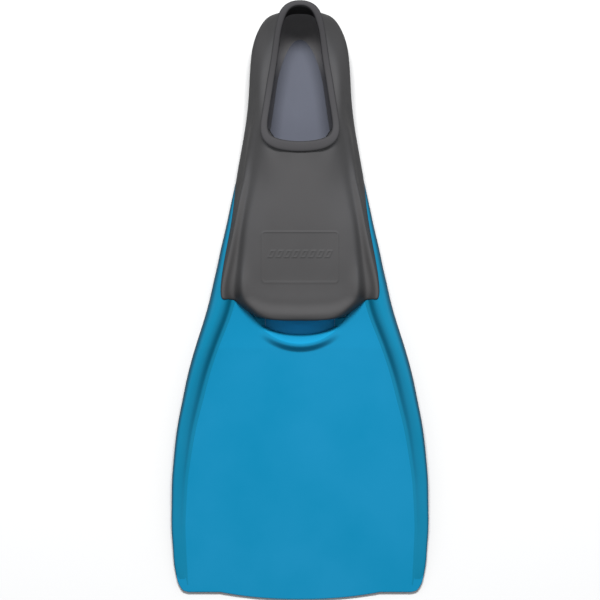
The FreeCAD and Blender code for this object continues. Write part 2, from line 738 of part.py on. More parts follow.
def write_parts(parts):
    """Check every object, then write one STEP file for each piece."""
    doc.recompute()
    for item in doc.Objects:
        if "Invalid" in item.State or "Error" in item.State:
            raise RuntimeError("%s did not build: %s" % (item.Name, item.State))
    for name, part in parts.items():
        if part.Shape.isNull() or not part.Shape.isValid():
            raise RuntimeError("%s has no valid shape" % name)
        expected = 2 if name == "opening_rim" else 1
        if len(part.Shape.Solids) != expected:
            raise RuntimeError("%s has %d solids" % (name, len(part.Shape.Solids)))
    os.makedirs("parts", exist_ok=True)
    for name, part in parts.items():
        part.Shape.exportStep("parts/%s.step" % name)
        box = part.Shape.optimalBoundingBox()
        low = "%.1f %.1f %.1f" % (box.XMin, box.YMin, box.ZMin)
        high = "%.1f %.1f %.1f" % (box.XMax, box.YMax, box.ZMax)
        print("%-12s %9.0f mm3  %s  to  %s" % (name, part.Shape.Volume, low, high))


write_parts(make_parts())
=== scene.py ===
import bmesh
import bpy
import math
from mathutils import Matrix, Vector
import numpy as np


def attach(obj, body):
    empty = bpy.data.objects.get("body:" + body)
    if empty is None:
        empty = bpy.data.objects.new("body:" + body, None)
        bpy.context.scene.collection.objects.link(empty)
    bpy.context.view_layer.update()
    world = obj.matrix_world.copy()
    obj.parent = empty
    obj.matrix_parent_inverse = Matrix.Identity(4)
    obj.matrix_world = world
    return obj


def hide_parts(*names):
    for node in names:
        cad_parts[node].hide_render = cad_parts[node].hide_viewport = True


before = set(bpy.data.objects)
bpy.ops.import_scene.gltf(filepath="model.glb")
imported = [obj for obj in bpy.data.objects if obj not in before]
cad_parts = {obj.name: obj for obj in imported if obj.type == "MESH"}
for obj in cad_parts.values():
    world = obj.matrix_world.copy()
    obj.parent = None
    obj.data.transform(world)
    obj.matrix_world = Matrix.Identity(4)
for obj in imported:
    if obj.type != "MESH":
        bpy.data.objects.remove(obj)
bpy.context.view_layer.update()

# Shapes are worked out in millimetres, as (across, along, up); +along is the heel
MM = 0.001
FINE = 1.0
WELD_METRES = 2e-6
# Points that a closed path repeats past its start, for a smooth spline
PAD = 3

# Levels under the foot
GROUND = 0.0
OUTSOLE_TOP = 4.0
PLATE_TOP = 7.0
FOOTBED_TOP = 9.7


# ---------------------------------------------------------------- curves and grids


def spline_read(keys, knots, samples):
    """A natural cubic spline through keys (first axis), read at the samples."""
    keys = np.asarray(keys, float)
    knots = np.asarray(knots, float)
    samples = np.asarray(samples, float)
    count = len(knots)
    gaps = np.diff(knots)
    flat = keys.reshape(count, -1)
    slopes = np.diff(flat, axis=0) / gaps[:, None]
    system = np.zeros((count, count))
    right = np.zeros(flat.shape)
    system[0, 0] = system[-1, -1] = 1.0
    for i in range(1, count - 1):
        system[i, i - 1] = gaps[i - 1]
        system[i, i] = 2.0 * (gaps[i - 1] + gaps[i])
        system[i, i + 1] = gaps[i]
        right[i] = 6.0 * (slopes[i] - slopes[i - 1])
    bend = np.linalg.solve(system, right)
    near = np.clip(np.searchsorted(knots, samples, side="right") - 1, 0, count - 2)
    gap = gaps[near][:, None]
    after = (samples - knots[near])[:, None] / gap
    before = 1.0 - after
    out = before * flat[near] + after * flat[near + 1]
    curved = (before ** 3 - before) * bend[near] + (after ** 3 - after) * bend[near + 1]
    out += curved * gap ** 2 / 6.0
    return out.reshape((len(samples),) + keys.shape[1:])


def mean_knots(keys):
    """Knots spaced by the mean distance between neighbouring rows of key points."""
    steps = np.linalg.norm(np.diff(keys, axis=0), axis=-1)
    while steps.ndim > 1:
        steps = steps.mean(axis=-1)
    return np.concatenate([[0.0], np.cumsum(np.maximum(steps, 1e-3))])


def spread(knots, spacing):
    """Samples that pass through every knot, about one spacing apart in each span."""
    spacing = np.broadcast_to(spacing, (len(knots) - 1,))
    parts = []
    for low, high, step in zip(knots, knots[1:], spacing):
        count = max(int(round((high - low) / (step * FINE))), 2)
        parts.append(np.linspace(low, high, count, endpoint=False))
    return np.concatenate(parts + [[knots[-1]]])


def smoothstep(low, high, value):
    """0 at low, 1 at high, with a smooth start and end; low may be above high."""
    part = np.clip((value - low) / (high - low), 0.0, 1.0)
    return part * part * (3.0 - 2.0 * part)


def ridge(distance, width):
    """The profile of a soft ridge: 1 on its line, fading out over a width."""
    return np.exp(-(distance / width) ** 2)


def mirror(points):
    """The same points on the other side of the middle plane."""
    return np.asarray(points, float) * np.array([-1.0, 1.0, 1.0])


def both_ways(values):
    """Values that run from minus the last, through zero, to the last."""
    return np.concatenate([-values[::-1], values[1:]])


def closed_path(points, axis=0):
    """A closed path with some points repeated past both ends."""
    points = np.moveaxis(points, axis, 0)
    return np.moveaxis(np.concatenate([points[-PAD:], points, points[:PAD + 1]]), 0, axis)


class Shell:
    """Gathers grids of points into one mesh."""

    def __init__(self):
        self.points = []
        self.faces = []
        self.shades = []
        self.total = 0

    def grid(self, points, wrap=False, shade=0):
        """A grid of quads in one of the piece's materials. wrap closes the second axis."""
        points = np.asarray(points, float)
        rows, columns = points.shape[:2]
        index = self.total + np.arange(rows * columns).reshape(rows, columns)
        if wrap:
            index = np.concatenate([index, index[:, :1]], axis=1)
        corners = [index[:-1, :-1], index[:-1, 1:], index[1:, 1:], index[1:, :-1]]
        quads = np.stack(corners, axis=-1).reshape(-1, 4)
        self.faces.append(quads)
        self.shades.append(np.full(len(quads), shade))
        self.points.append(points.reshape(-1, 3))
        self.total += rows * columns

    def build(self, name, replaces, slot, materials):
        """The finished piece, which stands for one CAD node."""
        mesh = bpy.data.meshes.new(name)
        points = np.concatenate(self.points) * MM
        mesh.from_pydata(points.tolist(), [], np.concatenate(self.faces).tolist())
        mesh.polygons.foreach_set("material_index", np.concatenate(self.shades))
        work = bmesh.new()
        work.from_mesh(mesh)
        bmesh.ops.remove_doubles(work, verts=work.verts, dist=WELD_METRES)
        bmesh.ops.dissolve_degenerate(work, edges=work.edges, dist=1e-7)
        bmesh.ops.recalc_face_normals(work, faces=work.faces)
        work.to_mesh(mesh)
        work.free()
        mesh.polygons.foreach_set("use_smooth", [True] * len(mesh.polygons))
        mesh.update()
        for material in materials:
            mesh.materials.append(material)
        piece = bpy.data.objects.new(name, mesh)
        bpy.context.scene.collection.objects.link(piece)
        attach(piece, "root")
        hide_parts(replaces)


def normals_of(points):
    """Unit normals of a grid of points, all turned up."""
    normal = np.cross(np.gradient(points, axis=1), np.gradient(points, axis=0))
    normal /= np.maximum(np.linalg.norm(normal, axis=-1, keepdims=True), 1e-9)
    return normal * np.sign(normal[..., 2:3])


def border(grid):
    """The points round the edge of a grid, as one closed ring."""
    return np.concatenate([grid[:, 0], grid[-1, 1:], grid[-2::-1, -1], grid[0, -2:0:-1]])


def edge_strip(top, under, round_by):
    """The rounded edge that joins the borders of an upper and a lower grid."""
    upper = border(top)
    lower = border(under)
    ahead = np.roll(upper, -1, axis=0) - np.roll(upper, 1, axis=0)
    out = np.stack([ahead[:, 1], -ahead[:, 0], np.zeros(len(ahead))], axis=1)
    out /= np.maximum(np.linalg.norm(out, axis=1, keepdims=True), 1e-9)
    if ((upper - upper.mean(axis=0)) * out).sum() < 0:
        out = -out
    rings = []
    for turn in np.linspace(0.0, math.pi, 7):
        share = 0.5 - 0.5 * math.cos(turn)
        rings.append(upper + (lower - upper) * share + out * round_by * math.sin(turn))
    return np.stack(rings)


def path_distance(x, y, path):
    """Distance in plan to a polyline, and how far along it the nearest point lies."""
    path = np.asarray(path, float)
    best = np.full(np.shape(x), np.inf)
    place = np.zeros(np.shape(x))
    run = 0.0
    for start, end in zip(path, path[1:]):
        step = end - start
        length = float(np.hypot(*step))
        part = ((x - start[0]) * step[0] + (y - start[1]) * step[1]) / length ** 2
        part = np.clip(part, 0.0, 1.0)
        apart = np.hypot(x - start[0] - part * step[0], y - start[1] - part * step[1])
        closer = apart < best
        best = np.where(closer, apart, best)
        place = np.where(closer, run + part * length, place)
        run += length
    return best, place


# ---------------------------------------------------------------- materials


class Nodes:
    """A new material's node tree, with short ways to add the nodes used here."""

    def __init__(self, name):
        self.material = bpy.data.materials.new(name)
        self.material.use_nodes = True
        self.tree = self.material.node_tree
        self.tree.nodes.clear()

    def add(self, kind, **inputs):
        """A node with constants on its sockets; an underscore stands for a space."""
        node = self.tree.nodes.new(kind)
        for socket, value in inputs.items():
            node.inputs[socket.replace("_", " ")].default_value = value
        return node

    def link(self, source, target):
        self.tree.links.new(source, target)

    def noise(self, place, **inputs):
        node = self.add("ShaderNodeTexNoise", **inputs)
        self.link(place, node.inputs["Vector"])
        return node.outputs["Fac"]

    def fit(self, source, **inputs):
        """A value carried from one range onto another."""
        node = self.add("ShaderNodeMapRange", **inputs)
        self.link(source, node.inputs["Value"])
        return node.outputs["Result"]

    def axis(self, vector, name):
        """One coordinate of a vector."""
        node = self.add("ShaderNodeSeparateXYZ")
        self.link(vector, node.inputs["Vector"])
        return node.outputs[name]

    def mixed(self, factor, second):
        """A mix towards a second colour, and the socket of the first."""
        node = self.tree.nodes.new("ShaderNodeMix")
        node.data_type = "RGBA"
        node.inputs["B"].default_value = (*second, 1.0)
        self.link(factor, node.inputs["Factor"])
        return node.outputs["Result"], node.inputs["A"]

    def painted_flank_shade(self, flank):
        """Painted shade by a face's lean: the colour's scale, flank if upright, 1 if level."""
        face = self.add("ShaderNodeNewGeometry")
        level = self.tree.nodes.new("ShaderNodeMath")
        level.operation = "ABSOLUTE"
        self.link(self.axis(face.outputs["Normal"], "Z"), level.inputs[0])
        return self.fit(level.outputs["Value"], From_Min=0.25, From_Max=0.85, To_Min=flank)

    def scaled(self, colour, factor):
        node = self.tree.nodes.new("ShaderNodeVectorMath")
        node.operation = "SCALE"
        self.link(colour, node.inputs["Vector"])
        self.link(factor, node.inputs["Scale"])
        return node.outputs["Vector"]


MOTTLE_SCALE = 14.0
SCUFF_SCALE = 46.0
GRAIN_DEPTH = 0.0002


def procedural(name, colour, dark, roughness, bump, grain, specular,
               wear=0.05, sheen=0.0, flank=1.0, heel=None):
    """A moulded rubber or plastic: mottled colour, fine grain and soft scuffs.

    flank is the painted shade of upright faces: their colour's scale against level ones.
    heel is painted light: the paler colour that the piece takes on towards the heel.
    """
    nodes = Nodes(name)
    shader = nodes.add(
        "ShaderNodeBsdfPrincipled", Specular_IOR_Level=specular, Sheen_Weight=sheen)
    output = nodes.add("ShaderNodeOutputMaterial")
    nodes.link(shader.outputs["BSDF"], output.inputs["Surface"])
    place = nodes.add("ShaderNodeTexCoord").outputs["Object"]

    cloud = nodes.noise(place, Scale=MOTTLE_SCALE, Detail=4.0)
    coloured, first = nodes.mixed(nodes.fit(cloud, From_Min=0.3, From_Max=0.62), colour)
    first.default_value = (*dark, 1.0)
    # Paler towards the heel: painted light in the heel cup
    if heel:
        towards = nodes.fit(nodes.axis(place, "Y"), From_Min=0.208, From_Max=0.240)
        with_painted_heel_light, first = nodes.mixed(towards, heel)
        nodes.link(coloured, first)
        coloured = with_painted_heel_light
    # Upright faces are darkened by flank: painted shade
    if flank < 1.0:
        coloured = nodes.scaled(coloured, nodes.painted_flank_shade(flank))
    nodes.link(coloured, shader.inputs["Base Color"])

    scuff = nodes.noise(place, Scale=SCUFF_SCALE, Detail=8.0, Roughness=0.7)
    gloss = nodes.fit(
        scuff, From_Min=0.35, From_Max=0.7, To_Min=roughness - wear, To_Max=roughness + wear)
    nodes.link(gloss, shader.inputs["Roughness"])

    grit = nodes.noise(place, Scale=grain, Detail=3.0)
    raised = nodes.add("ShaderNodeBump", Strength=bump, Distance=GRAIN_DEPTH)
    nodes.link(grit, raised.inputs["Height"])
    nodes.link(raised.outputs["Normal"], shader.inputs["Normal"])
    return nodes.material


# flank paints shade: the upright faces of these rubbers are darker than level ones
RUBBER = procedural(
    "grey_rubber", (0.0405, 0.0397, 0.0405), (0.0360, 0.0354, 0.0361),
    roughness=0.46, bump=0.22, grain=1400.0, specular=0.14, flank=0.36)
BEAD_RUBBER = procedural(
    "bead_rubber", (0.0315, 0.0308, 0.0325), (0.0284, 0.0278, 0.0292),
    roughness=0.50, bump=0.18, grain=1400.0, specular=0.08, flank=0.50)
# The lining's heel colour is painted light
LINING = procedural(
    "pocket_lining", (0.0400, 0.0405, 0.0460), (0.0360, 0.0365, 0.0415),
    roughness=0.80, bump=0.30, grain=1800.0, specular=0.05, heel=(0.110, 0.108, 0.112))
# Nearly black: painted shadow on the wall under the rim, round the opening
COLLAR_PAINTED_SHADOW = procedural(
    "collar_painted_shadow", (0.0120, 0.0118, 0.0124), (0.0100, 0.0098, 0.0102),
    roughness=0.80, bump=0.30, grain=1800.0, specular=0.05)
BLADE_BLUE = procedural(
    "blade_plastic", (0.0034, 0.1120, 0.2090), (0.0014, 0.1050, 0.1960),
    roughness=0.42, bump=0.10, grain=900.0, specular=0.09)
# A paler copy of the blade's blue: painted light on the ramp
RAMP_PAINTED_LIGHT = procedural(
    "ramp_painted_light", (0.0060, 0.1500, 0.2760), (0.0060, 0.1430, 0.2640),
    roughness=0.42, bump=0.10, grain=900.0, specular=0.09)
# flank paints shade: the rails' upright faces are darker than level ones
RAIL_BLUE = procedural(
    "rail_rubber", (0.0030, 0.0960, 0.1690), (0.0014, 0.0910, 0.1600),
    roughness=0.43, bump=0.14, grain=1200.0, specular=0.08, flank=0.30)
# Paler than the blade: painted light that makes up for the shadow over the vent's floor
PLATE_PAINTED_LIGHT = procedural(
    "plate_painted_light", (0.0040, 0.1950, 0.4300), (0.0040, 0.1850, 0.4150),
    roughness=0.42, bump=0.12, grain=900.0, specular=0.09)
FOOTBED = procedural(
    "footbed_foam", (0.0660, 0.0708, 0.0890), (0.0596, 0.0638, 0.0806),
    roughness=0.72, bump=0.35, grain=2200.0, specular=0.10, sheen=0.1)
TREAD = procedural(
    "tread_rubber", (0.0300, 0.0300, 0.0308), (0.0256, 0.0256, 0.0264),
    roughness=0.60, bump=0.40, grain=1600.0, specular=0.15, wear=0.06)


# ---------------------------------------------------------------- foot pocket

# Outer skin beside and behind the foot, from the middle of the heel to beside the
# instep. Each ring runs from the foot of the wall up to the rim.
HEEL_RINGS = np.array([
    [(0, 251, 4), (0, 262.5, 17), (0, 268.4, 34), (0, 270.8, 47), (0, 273.2, 59),
     (0, 277.0, 66.5)],
    [(11.5, 249.4, 4), (14.2, 262.2, 17), (16.2, 268.7, 34), (15.4, 269.8, 47), (13.6, 271.6, 58),
     (11.0, 275.0, 66)],
    [(20.5, 245.4, 4), (26.2, 260.4, 17.5), (27.9, 264.9, 33), (24.2, 264.2, 46),
     (19.8, 265.2, 55.5), (17.2, 268.6, 62.8)],
    [(27.8, 237.5, 4), (37.6, 248.6, 18), (36.0, 251.6, 34), (29.2, 252.0, 45), (24.0, 252.2, 53),
     (20.5, 252.5, 57.2)],
    [(35.0, 222, 4), (44.9, 224, 18), (41.4, 224, 34), (34.6, 224, 43.6), (28.6, 224, 48.3),
     (24.2, 224.4, 50.2)],
    [(40.0, 190, 4), (47.4, 190, 18), (43.8, 190, 34), (38.4, 190, 45.6), (33.6, 190, 50.4),
     (30.0, 190, 52.6)],
    [(45.0, 163, 4), (50.8, 163, 17), (45.6, 163, 35), (41.2, 163, 47.5), (37.4, 163, 55),
     (33.7, 163, 60)],
], float)

# Outer skin over the instep and toes. Each row runs from the foot of the wall over
# the sleeve, its crest, the valley and the toe ridge to the middle.
TOE_ROWS = np.array([
    [(50.0, 143, 4), (54.3, 143, 17), (47.4, 143, 36), (43.4, 143, 46.4), (38.6, 143, 55),
     (33.4, 144.6, 62), (21.5, 133, 66.8), (0, 131, 70.4)],
    [(56.0, 112, 4), (59.7, 112, 16), (51.6, 112, 36), (47.0, 112, 42), (41.5, 112, 49),
     (35.5, 112, 54), (22, 109, 61.4), (0, 108, 65.8)],
    [(62.5, 70, 4), (66.2, 70, 15), (59.2, 70, 33.6), (54.6, 70, 34.8), (49.4, 70, 41.2),
     (43, 70, 46), (27.5, 70, 53), (0, 70, 57)],
    [(70.0, 30, 4), (73.2, 30, 15), (67.6, 30, 31.2), (60.6, 30, 27.8), (54.0, 30, 34.6),
     (47.2, 30, 38.6), (31.5, 30, 42.6), (0, 30, 44.8)],
    [(73.0, 8, 4), (74.6, 9, 14), (71.2, 8, 29.6), (62.4, 7, 23.6), (54.8, 5, 31.8),
     (48.0, 1, 34.0), (33.6, -1.0, 35.5), (0, -2.0, 36.9)],
    [(73.0, 3.4, 4), (74.2, 4.6, 14), (71.0, 3.4, 28.8), (62.4, 2.4, 20.8), (56.2, -0.2, 26.0),
     (49.0, -4.4, 30.6), (34.4, -11.0, 34.0), (0, -12.8, 35.6)],
    [(72.0, 1.2, 4), (72.8, 1.6, 14), (70.4, 1.0, 27.4), (62.6, 0.4, 18.8), (57.8, -2.7, 20.8),
     (50.3, -8.3, 23.4), (35.0, -16.5, 30.4), (0, -19.0, 33.4)],
    [(71.6, 0.8, 4), (72.0, 1.0, 13.4), (69.8, 0.6, 25.8), (62.6, 0.0, 17.6), (58.0, -3.2, 17.9),
     (50.9, -9.0, 18.6), (35.4, -17.0, 26.4), (0, -19.5, 30.0)],
], float)
FRONT_RIM = np.array([(20, 145.2, 68.8), (0, 142.9, 72.0)], float)

# Inner skin, in the same order, from under the footbed's edge up to the rim
INNER_RINGS = np.array([
    [(0, 240.6, 8.0), (0, 245, 9.8), (0, 251, 14.4), (0, 258.4, 21.6), (0, 263.8, 31),
     (0, 267.6, 46), (0, 273.8, 63)],
    [(5.4, 237.6, 8.0), (8.2, 241.6, 9.7), (10.8, 246.6, 14), (12.4, 252.8, 21),
     (13.0, 259.2, 30.5), (11.8, 265.6, 45), (8.8, 271.6, 62)],
    [(9.2, 232.6, 8.0), (12.8, 235.6, 9.6), (17.0, 239.8, 13.6), (19.4, 245.2, 21),
     (19.8, 251.0, 31), (17.2, 258.4, 45), (13.2, 266.6, 59)],
    [(11.6, 228.6, 8.0), (16.0, 230.2, 9.5), (20.8, 233, 13.2), (25.0, 237, 21),
     (25.2, 241.6, 32), (21.8, 246.6, 44), (17.2, 251.6, 53.6)],
    [(14.2, 221, 8.0), (18.4, 221.4, 9.5), (23.6, 222, 12.6), (29.8, 223, 20), (31.6, 223.6, 32),
     (27.6, 224, 41), (21.2, 224.4, 46.8)],
    [(21.6, 190, 8.0), (26, 190, 9.4), (31.4, 190, 12.4), (36.6, 190, 19.8), (37.2, 190, 33),
     (33.4, 190, 43.4), (27.4, 190, 49.2)],
    [(25.8, 163, 8.0), (30.4, 163, 9.4), (35.6, 163, 12.4), (40.0, 163, 19.8), (40.0, 163, 34.4),
     (36.6, 163, 46.6), (31.2, 163, 57)],
], float)
INNER_ROWS = np.array([
    [(28.4, 143, 8.0), (33.6, 143, 9.4), (39.6, 143, 12.4), (44.4, 143, 19.6), (43.2, 143, 34),
     (38.8, 143, 45), (30.6, 144.4, 58), (20.4, 134, 63.4), (0, 132, 66.8)],
    [(33.2, 112, 8.0), (37.6, 112, 9.4), (42.6, 112, 12.6), (46.4, 112, 19.2), (45.4, 112, 31),
     (40.8, 112, 41), (33, 112, 50.6), (20.6, 110, 57.8), (0, 109, 62)],
    [(37.4, 70, 8.0), (42.2, 70, 9.4), (46.4, 70, 12.6), (49.4, 70, 18.4), (49.2, 70, 27),
     (46, 70, 35.4), (39, 70, 42.4), (25, 70, 49.2), (0, 70, 53)],
    [(38.2, 30, 8.0), (43.4, 30, 9.4), (47.8, 30, 12.4), (50.8, 30, 17), (51.2, 30, 22.4),
     (49.4, 30, 28.4), (43.6, 30, 34), (29.6, 30, 38.2), (0, 30, 40.2)],
    [(38.2, 8, 8.0), (43.4, 8, 9.4), (47.8, 8, 12), (50.6, 7, 16), (51, 6, 20), (49, 5, 25.4),
     (44.6, 3, 29), (31, 1, 31), (0, 1, 32.2)],
    [(38.2, 1, 8.0), (43.2, -0.6, 9.4), (47.2, -2, 12), (49.8, -3, 16), (50, -4, 20),
     (48.2, -5, 24.6), (43.6, -7.4, 27.6), (31, -11, 29), (0, -12.6, 30.2)],
    [(38.2, -4, 8.0), (43.0, -5.4, 9.4), (46.8, -6.6, 12), (49.2, -7.4, 14.6), (49.4, -8, 17.2),
     (47.8, -9.0, 19.4), (43.2, -12, 22.8), (32.4, -15.6, 26.6), (0, -17.8, 28.6)],
    [(38.4, -5.2, 7.9), (43.2, -6.6, 9.2), (47.2, -7.4, 11.8), (49.6, -7.6, 14.0),
     (49.6, -8.0, 15.8), (48.0, -9.4, 17.4), (43.6, -12.6, 20.4), (33.4, -16.4, 25.8),
     (0, -18.8, 28.9)],
], float)
INNER_FRONT_RIM = np.array([(19, 146.6, 65.2), (0, 145.0, 68.4)], float)

# Spacing of the samples in each span between stations, from the heel to the front
STATION_SPANS = [1.3, 1.3, 1.3, 1.3, 1.5, 1.5, 1.2, 1.2, 1.1, 0.58, 0.9, 0.7, 0.7, 0.6]
SIDE_SPACING = 1.1
TOP_SPACING = 0.62
# How far ahead of the opening the band and the sheet become one surface
JOIN_LENGTH = 14.0

# The pocket's materials, by their order on the piece; the last is painted shadow
OUTSIDE, INSIDE, PAINTED_SHADOW = 0, 1, 2
# Share of the inner wall that lies below the collar, whose nearly black colour is painted shadow
COLLAR_SHARE = 0.74

# Centre line in plan of the ridge that frames the toe box and its front lip
TOE_RIDGE = [
    (47.6, 112), (48.6, 100), (50.0, 80), (51.2, 60), (52.8, 40), (54.2, 22), (54.8, 10),
    (53.4, 1), (48.4, -5.8), (40.0, -10.2), (28.0, -12.4), (0.0, -13.6),
]
# Centre line in plan of the roll along the crest of each sleeve
SLEEVE_ROLL = [
    (41.6, 178), (43.4, 163), (46.6, 143), (50.8, 112), (55.0, 93), (59.0, 70), (67.2, 30),
    (71.0, 8),
]
ROLL_GROWS = (0.0, 26.0)
ROLL_FADES = (168.0, 96.0)
ROLL_WIDTH = 2.8
ROLL_LIFT = 1.5
ROLL_PUSH = 1.6

# The toe ridge's width, its height along the sides and round the lip, and the
# stretches of its line that each grows over
RIDGE_WIDTH = 4.2
RIDGE_SIDE = 0.95
RIDGE_SIDE_GROWS = (0.0, 60.0)
RIDGE_LIP = 0.55
RIDGE_LIP_GROWS = (125.0, 165.0)
# The hollow beside the lip, and how far from the middle it reaches
HOLLOW_DEPTH = 0.7
HOLLOW_GROWS = (90.0, 130.0)
HOLLOW_AWAY = 8.5
HOLLOW_WIDTH = 4.5
HOLLOW_HALF = 50.0
# Levels between which all relief fades in
RELIEF_FADE = (20.0, 26.0)

# The plain frame on the vamp, and the row of slanted bars in it
FRAME_HALF = 35.5
FRAME_LOW = 16.4
FRAME_HIGH = 63.6
FRAME_CORNER = 3.0
FRAME_LINE = 0.75
BAR_PITCH = 7.6
BAR_COUNT = 8
BAR_LEAN = 0.45
BAR_PLACE = 43.0
BAR_HALF = 2.9
BAR_REACH = 3.9
BAR_SOFT = 0.8
BAR_WALL = 1.4
MARK_HEIGHT = 0.55

# Half widths between which the front edge turns from the lip into the sleeves' ends,
# and how far its thickness is tucked back and down there
SLEEVE_TURN = (44.0, 52.0)
TUCK_UPPER = 2.2
TUCK_MIDDLE = 3.0
TUCK_DOWN = 7.0


def station_knots():
    """Knots along the stations from the heel to the front, shared by both skins."""
    heel = mean_knots(HEEL_RINGS)
    first = np.concatenate([HEEL_RINGS[-1], FRONT_RIM])[None]
    toe = mean_knots(np.concatenate([first, TOE_ROWS]))
    return np.concatenate([heel, heel[-1] + toe[1:]])


class SkinKeys:
    """One skin's key points, read at every sampled station.

    band goes from the right front round the heel to the left front. sheet lies between
    the band's edges, over the toes, and runs says how far ahead of the opening its rows
    are.
    """

    def __init__(self, rings, rows, front_rim):
        self.side = rings.shape[1]
        self.right = np.concatenate([rings, rows[:, :self.side]])
        chain = np.concatenate([self.right[::-1], mirror(self.right[1:])])
        knots = station_knots()
        samples = spread(knots, STATION_SPANS)
        self.band = spline_read(chain, both_ways(knots), both_ways(samples))

        first = np.concatenate([rings[-1], front_rim])[None]
        half_rows = np.concatenate([first, rows])
        self.sheet_keys = np.concatenate([half_rows, mirror(half_rows[:, -2::-1])], axis=1)
        row_knots = knots[len(rings) - 1:]
        row_samples = samples[samples >= row_knots[0] - 1e-9]
        self.sheet = spline_read(self.sheet_keys, row_knots, row_samples)
        self.runs = row_samples - row_knots[0]


def outer_skin(keys):
    """The outer band and sheet, which become one surface ahead of the opening."""
    side = keys.side
    last = len(keys.runs)
    sheet = keys.sheet
    sheet[:, :side] = keys.band[:last][::-1]
    sheet[:, -side:] = mirror(keys.band[:last][::-1])[:, ::-1]

    across = mean_knots(np.moveaxis(keys.sheet_keys, 0, 1))
    side_knots = across[:side]
    side_samples = spread(side_knots, SIDE_SPACING)
    top_knots = across[side - 1:-side + 1]
    top_samples = spread(top_knots, TOP_SPACING)
    far_samples = across[-1] - side_samples[::-1]
    whole_samples = np.concatenate([side_samples, top_samples[1:], far_samples[1:]])
    band = np.stack([spline_read(row, side_knots, side_samples) for row in keys.band])

    count = len(side_samples)
    top = []
    for number, row in enumerate(sheet):
        whole = spline_read(row, across, whole_samples)
        middle = spline_read(row[side - 1:-side + 1], top_knots, top_samples)
        share = smoothstep(0.0, JOIN_LENGTH, keys.runs[number])
        middle += (whole[count - 1:-count + 1] - middle) * share
        right = band[last - 1 - number]
        right += (whole[:count] - right) * share
        left = band[len(band) - last + number]
        left += (whole[-count:][::-1] - left) * share
        middle[0] = right[-1]
        middle[-1] = left[-1]
        top.append(middle)
    return band, np.stack(top)


def inner_skin(keys, side_count, top_count):
    """The inner band and sheet, with as many points across as the outer ones."""
    side = keys.side
    last = len(keys.runs)
    side_knots = mean_knots(np.moveaxis(keys.right, 0, 1))
    side_samples = np.linspace(side_knots[0], side_knots[-1], side_count)
    band = np.stack([spline_read(row, side_knots, side_samples) for row in keys.band])
    middle = keys.sheet[:, side - 1:-side + 1]
    top_knots = mean_knots(np.moveaxis(middle, 0, 1))
    top_samples = np.linspace(top_knots[0], top_knots[-1], top_count)
    top = np.stack([spline_read(row, top_knots, top_samples) for row in middle])
    for number in range(last):
        top[number, 0] = band[last - 1 - number, -1]
        top[number, -1] = band[len(band) - last + number, -1]
    return band, top


def toe_ridge(x, y):
    """Height of the ridge round the toe box, less the hollow beside its front lip."""
    away, place = path_distance(np.abs(x), y, TOE_RIDGE)
    side = RIDGE_SIDE * smoothstep(*RIDGE_SIDE_GROWS, place)
    lip = RIDGE_LIP * smoothstep(*RIDGE_LIP_GROWS, place)
    deep = HOLLOW_DEPTH * smoothstep(*HOLLOW_GROWS, place) * (np.abs(x) < HOLLOW_HALF)
    hollow = deep * ridge(away - HOLLOW_AWAY, HOLLOW_WIDTH)
    return (side + lip) * ridge(away, RIDGE_WIDTH) - hollow


def sleeve_roll(x, y):
    """The roll along each sleeve, from 0 to 1."""
    beside, along = path_distance(np.abs(x), y, SLEEVE_ROLL)
    grown = smoothstep(*ROLL_GROWS, along) * smoothstep(*ROLL_FADES, along)
    return grown * ridge(beside, ROLL_WIDTH)


def vamp_frame(x, y):
    """The line of a plain frame with rounded corners, from 0 to 1."""
    past_x = np.abs(x) - FRAME_HALF
    past_y = np.abs(y - 0.5 * (FRAME_LOW + FRAME_HIGH)) - 0.5 * (FRAME_HIGH - FRAME_LOW)
    over_x = np.maximum(past_x + FRAME_CORNER, 0.0)
    over_y = np.maximum(past_y + FRAME_CORNER, 0.0)
    outside = np.hypot(over_x, over_y) - FRAME_CORNER
    inside = np.minimum(np.maximum(past_x, past_y), 0.0)
    return ridge(np.where((over_x > 0) | (over_y > 0), outside, inside), FRAME_LINE)


def bar_shape(off, beside, inset):
    """One bar with its outline drawn in by an inset, from 0 to 1."""
    half = BAR_HALF - inset
    reach = BAR_REACH - inset
    return smoothstep(half, half - BAR_SOFT, off) * smoothstep(reach, reach - BAR_SOFT, beside)


def vamp_bars(x, y):
    """A row of plain slanted bars with hollow middles, from 0 to 1."""
    beside = np.abs(y - BAR_PLACE)
    cell = (x - BAR_LEAN * (y - BAR_PLACE)) / BAR_PITCH + 0.5 * BAR_COUNT
    off = np.abs(cell - np.floor(cell) - 0.5) * BAR_PITCH
    outline = bar_shape(off, beside, 0.0) - bar_shape(off, beside, BAR_WALL)
    return outline * ((cell > 0) & (cell < BAR_COUNT))


def add_relief(points):
    """Raises the ridge, the frame and its bars, and pushes the sleeves' rolls out."""
    x, y, z = np.moveaxis(points.copy(), -1, 0)
    above = smoothstep(*RELIEF_FADE, z)
    roll = sleeve_roll(x, y) * above
    marks = MARK_HEIGHT * (vamp_frame(x, y) + vamp_bars(x, y))
    points[..., 0] += ROLL_PUSH * roll * np.sign(x)
    points[..., 2] += (toe_ridge(x, y) + marks) * above + ROLL_LIFT * roll


def sole_strip(foot_out, foot_in):
    """The pocket's flat underside, and the step up to the inner wall's foot."""
    low_in = foot_in.copy()
    low_in[:, 2] = OUTSOLE_TOP
    rows = [foot_out + (low_in - foot_out) * part for part in (0.0, 0.34, 0.67, 1.0)]
    return np.stack(rows + [foot_in])


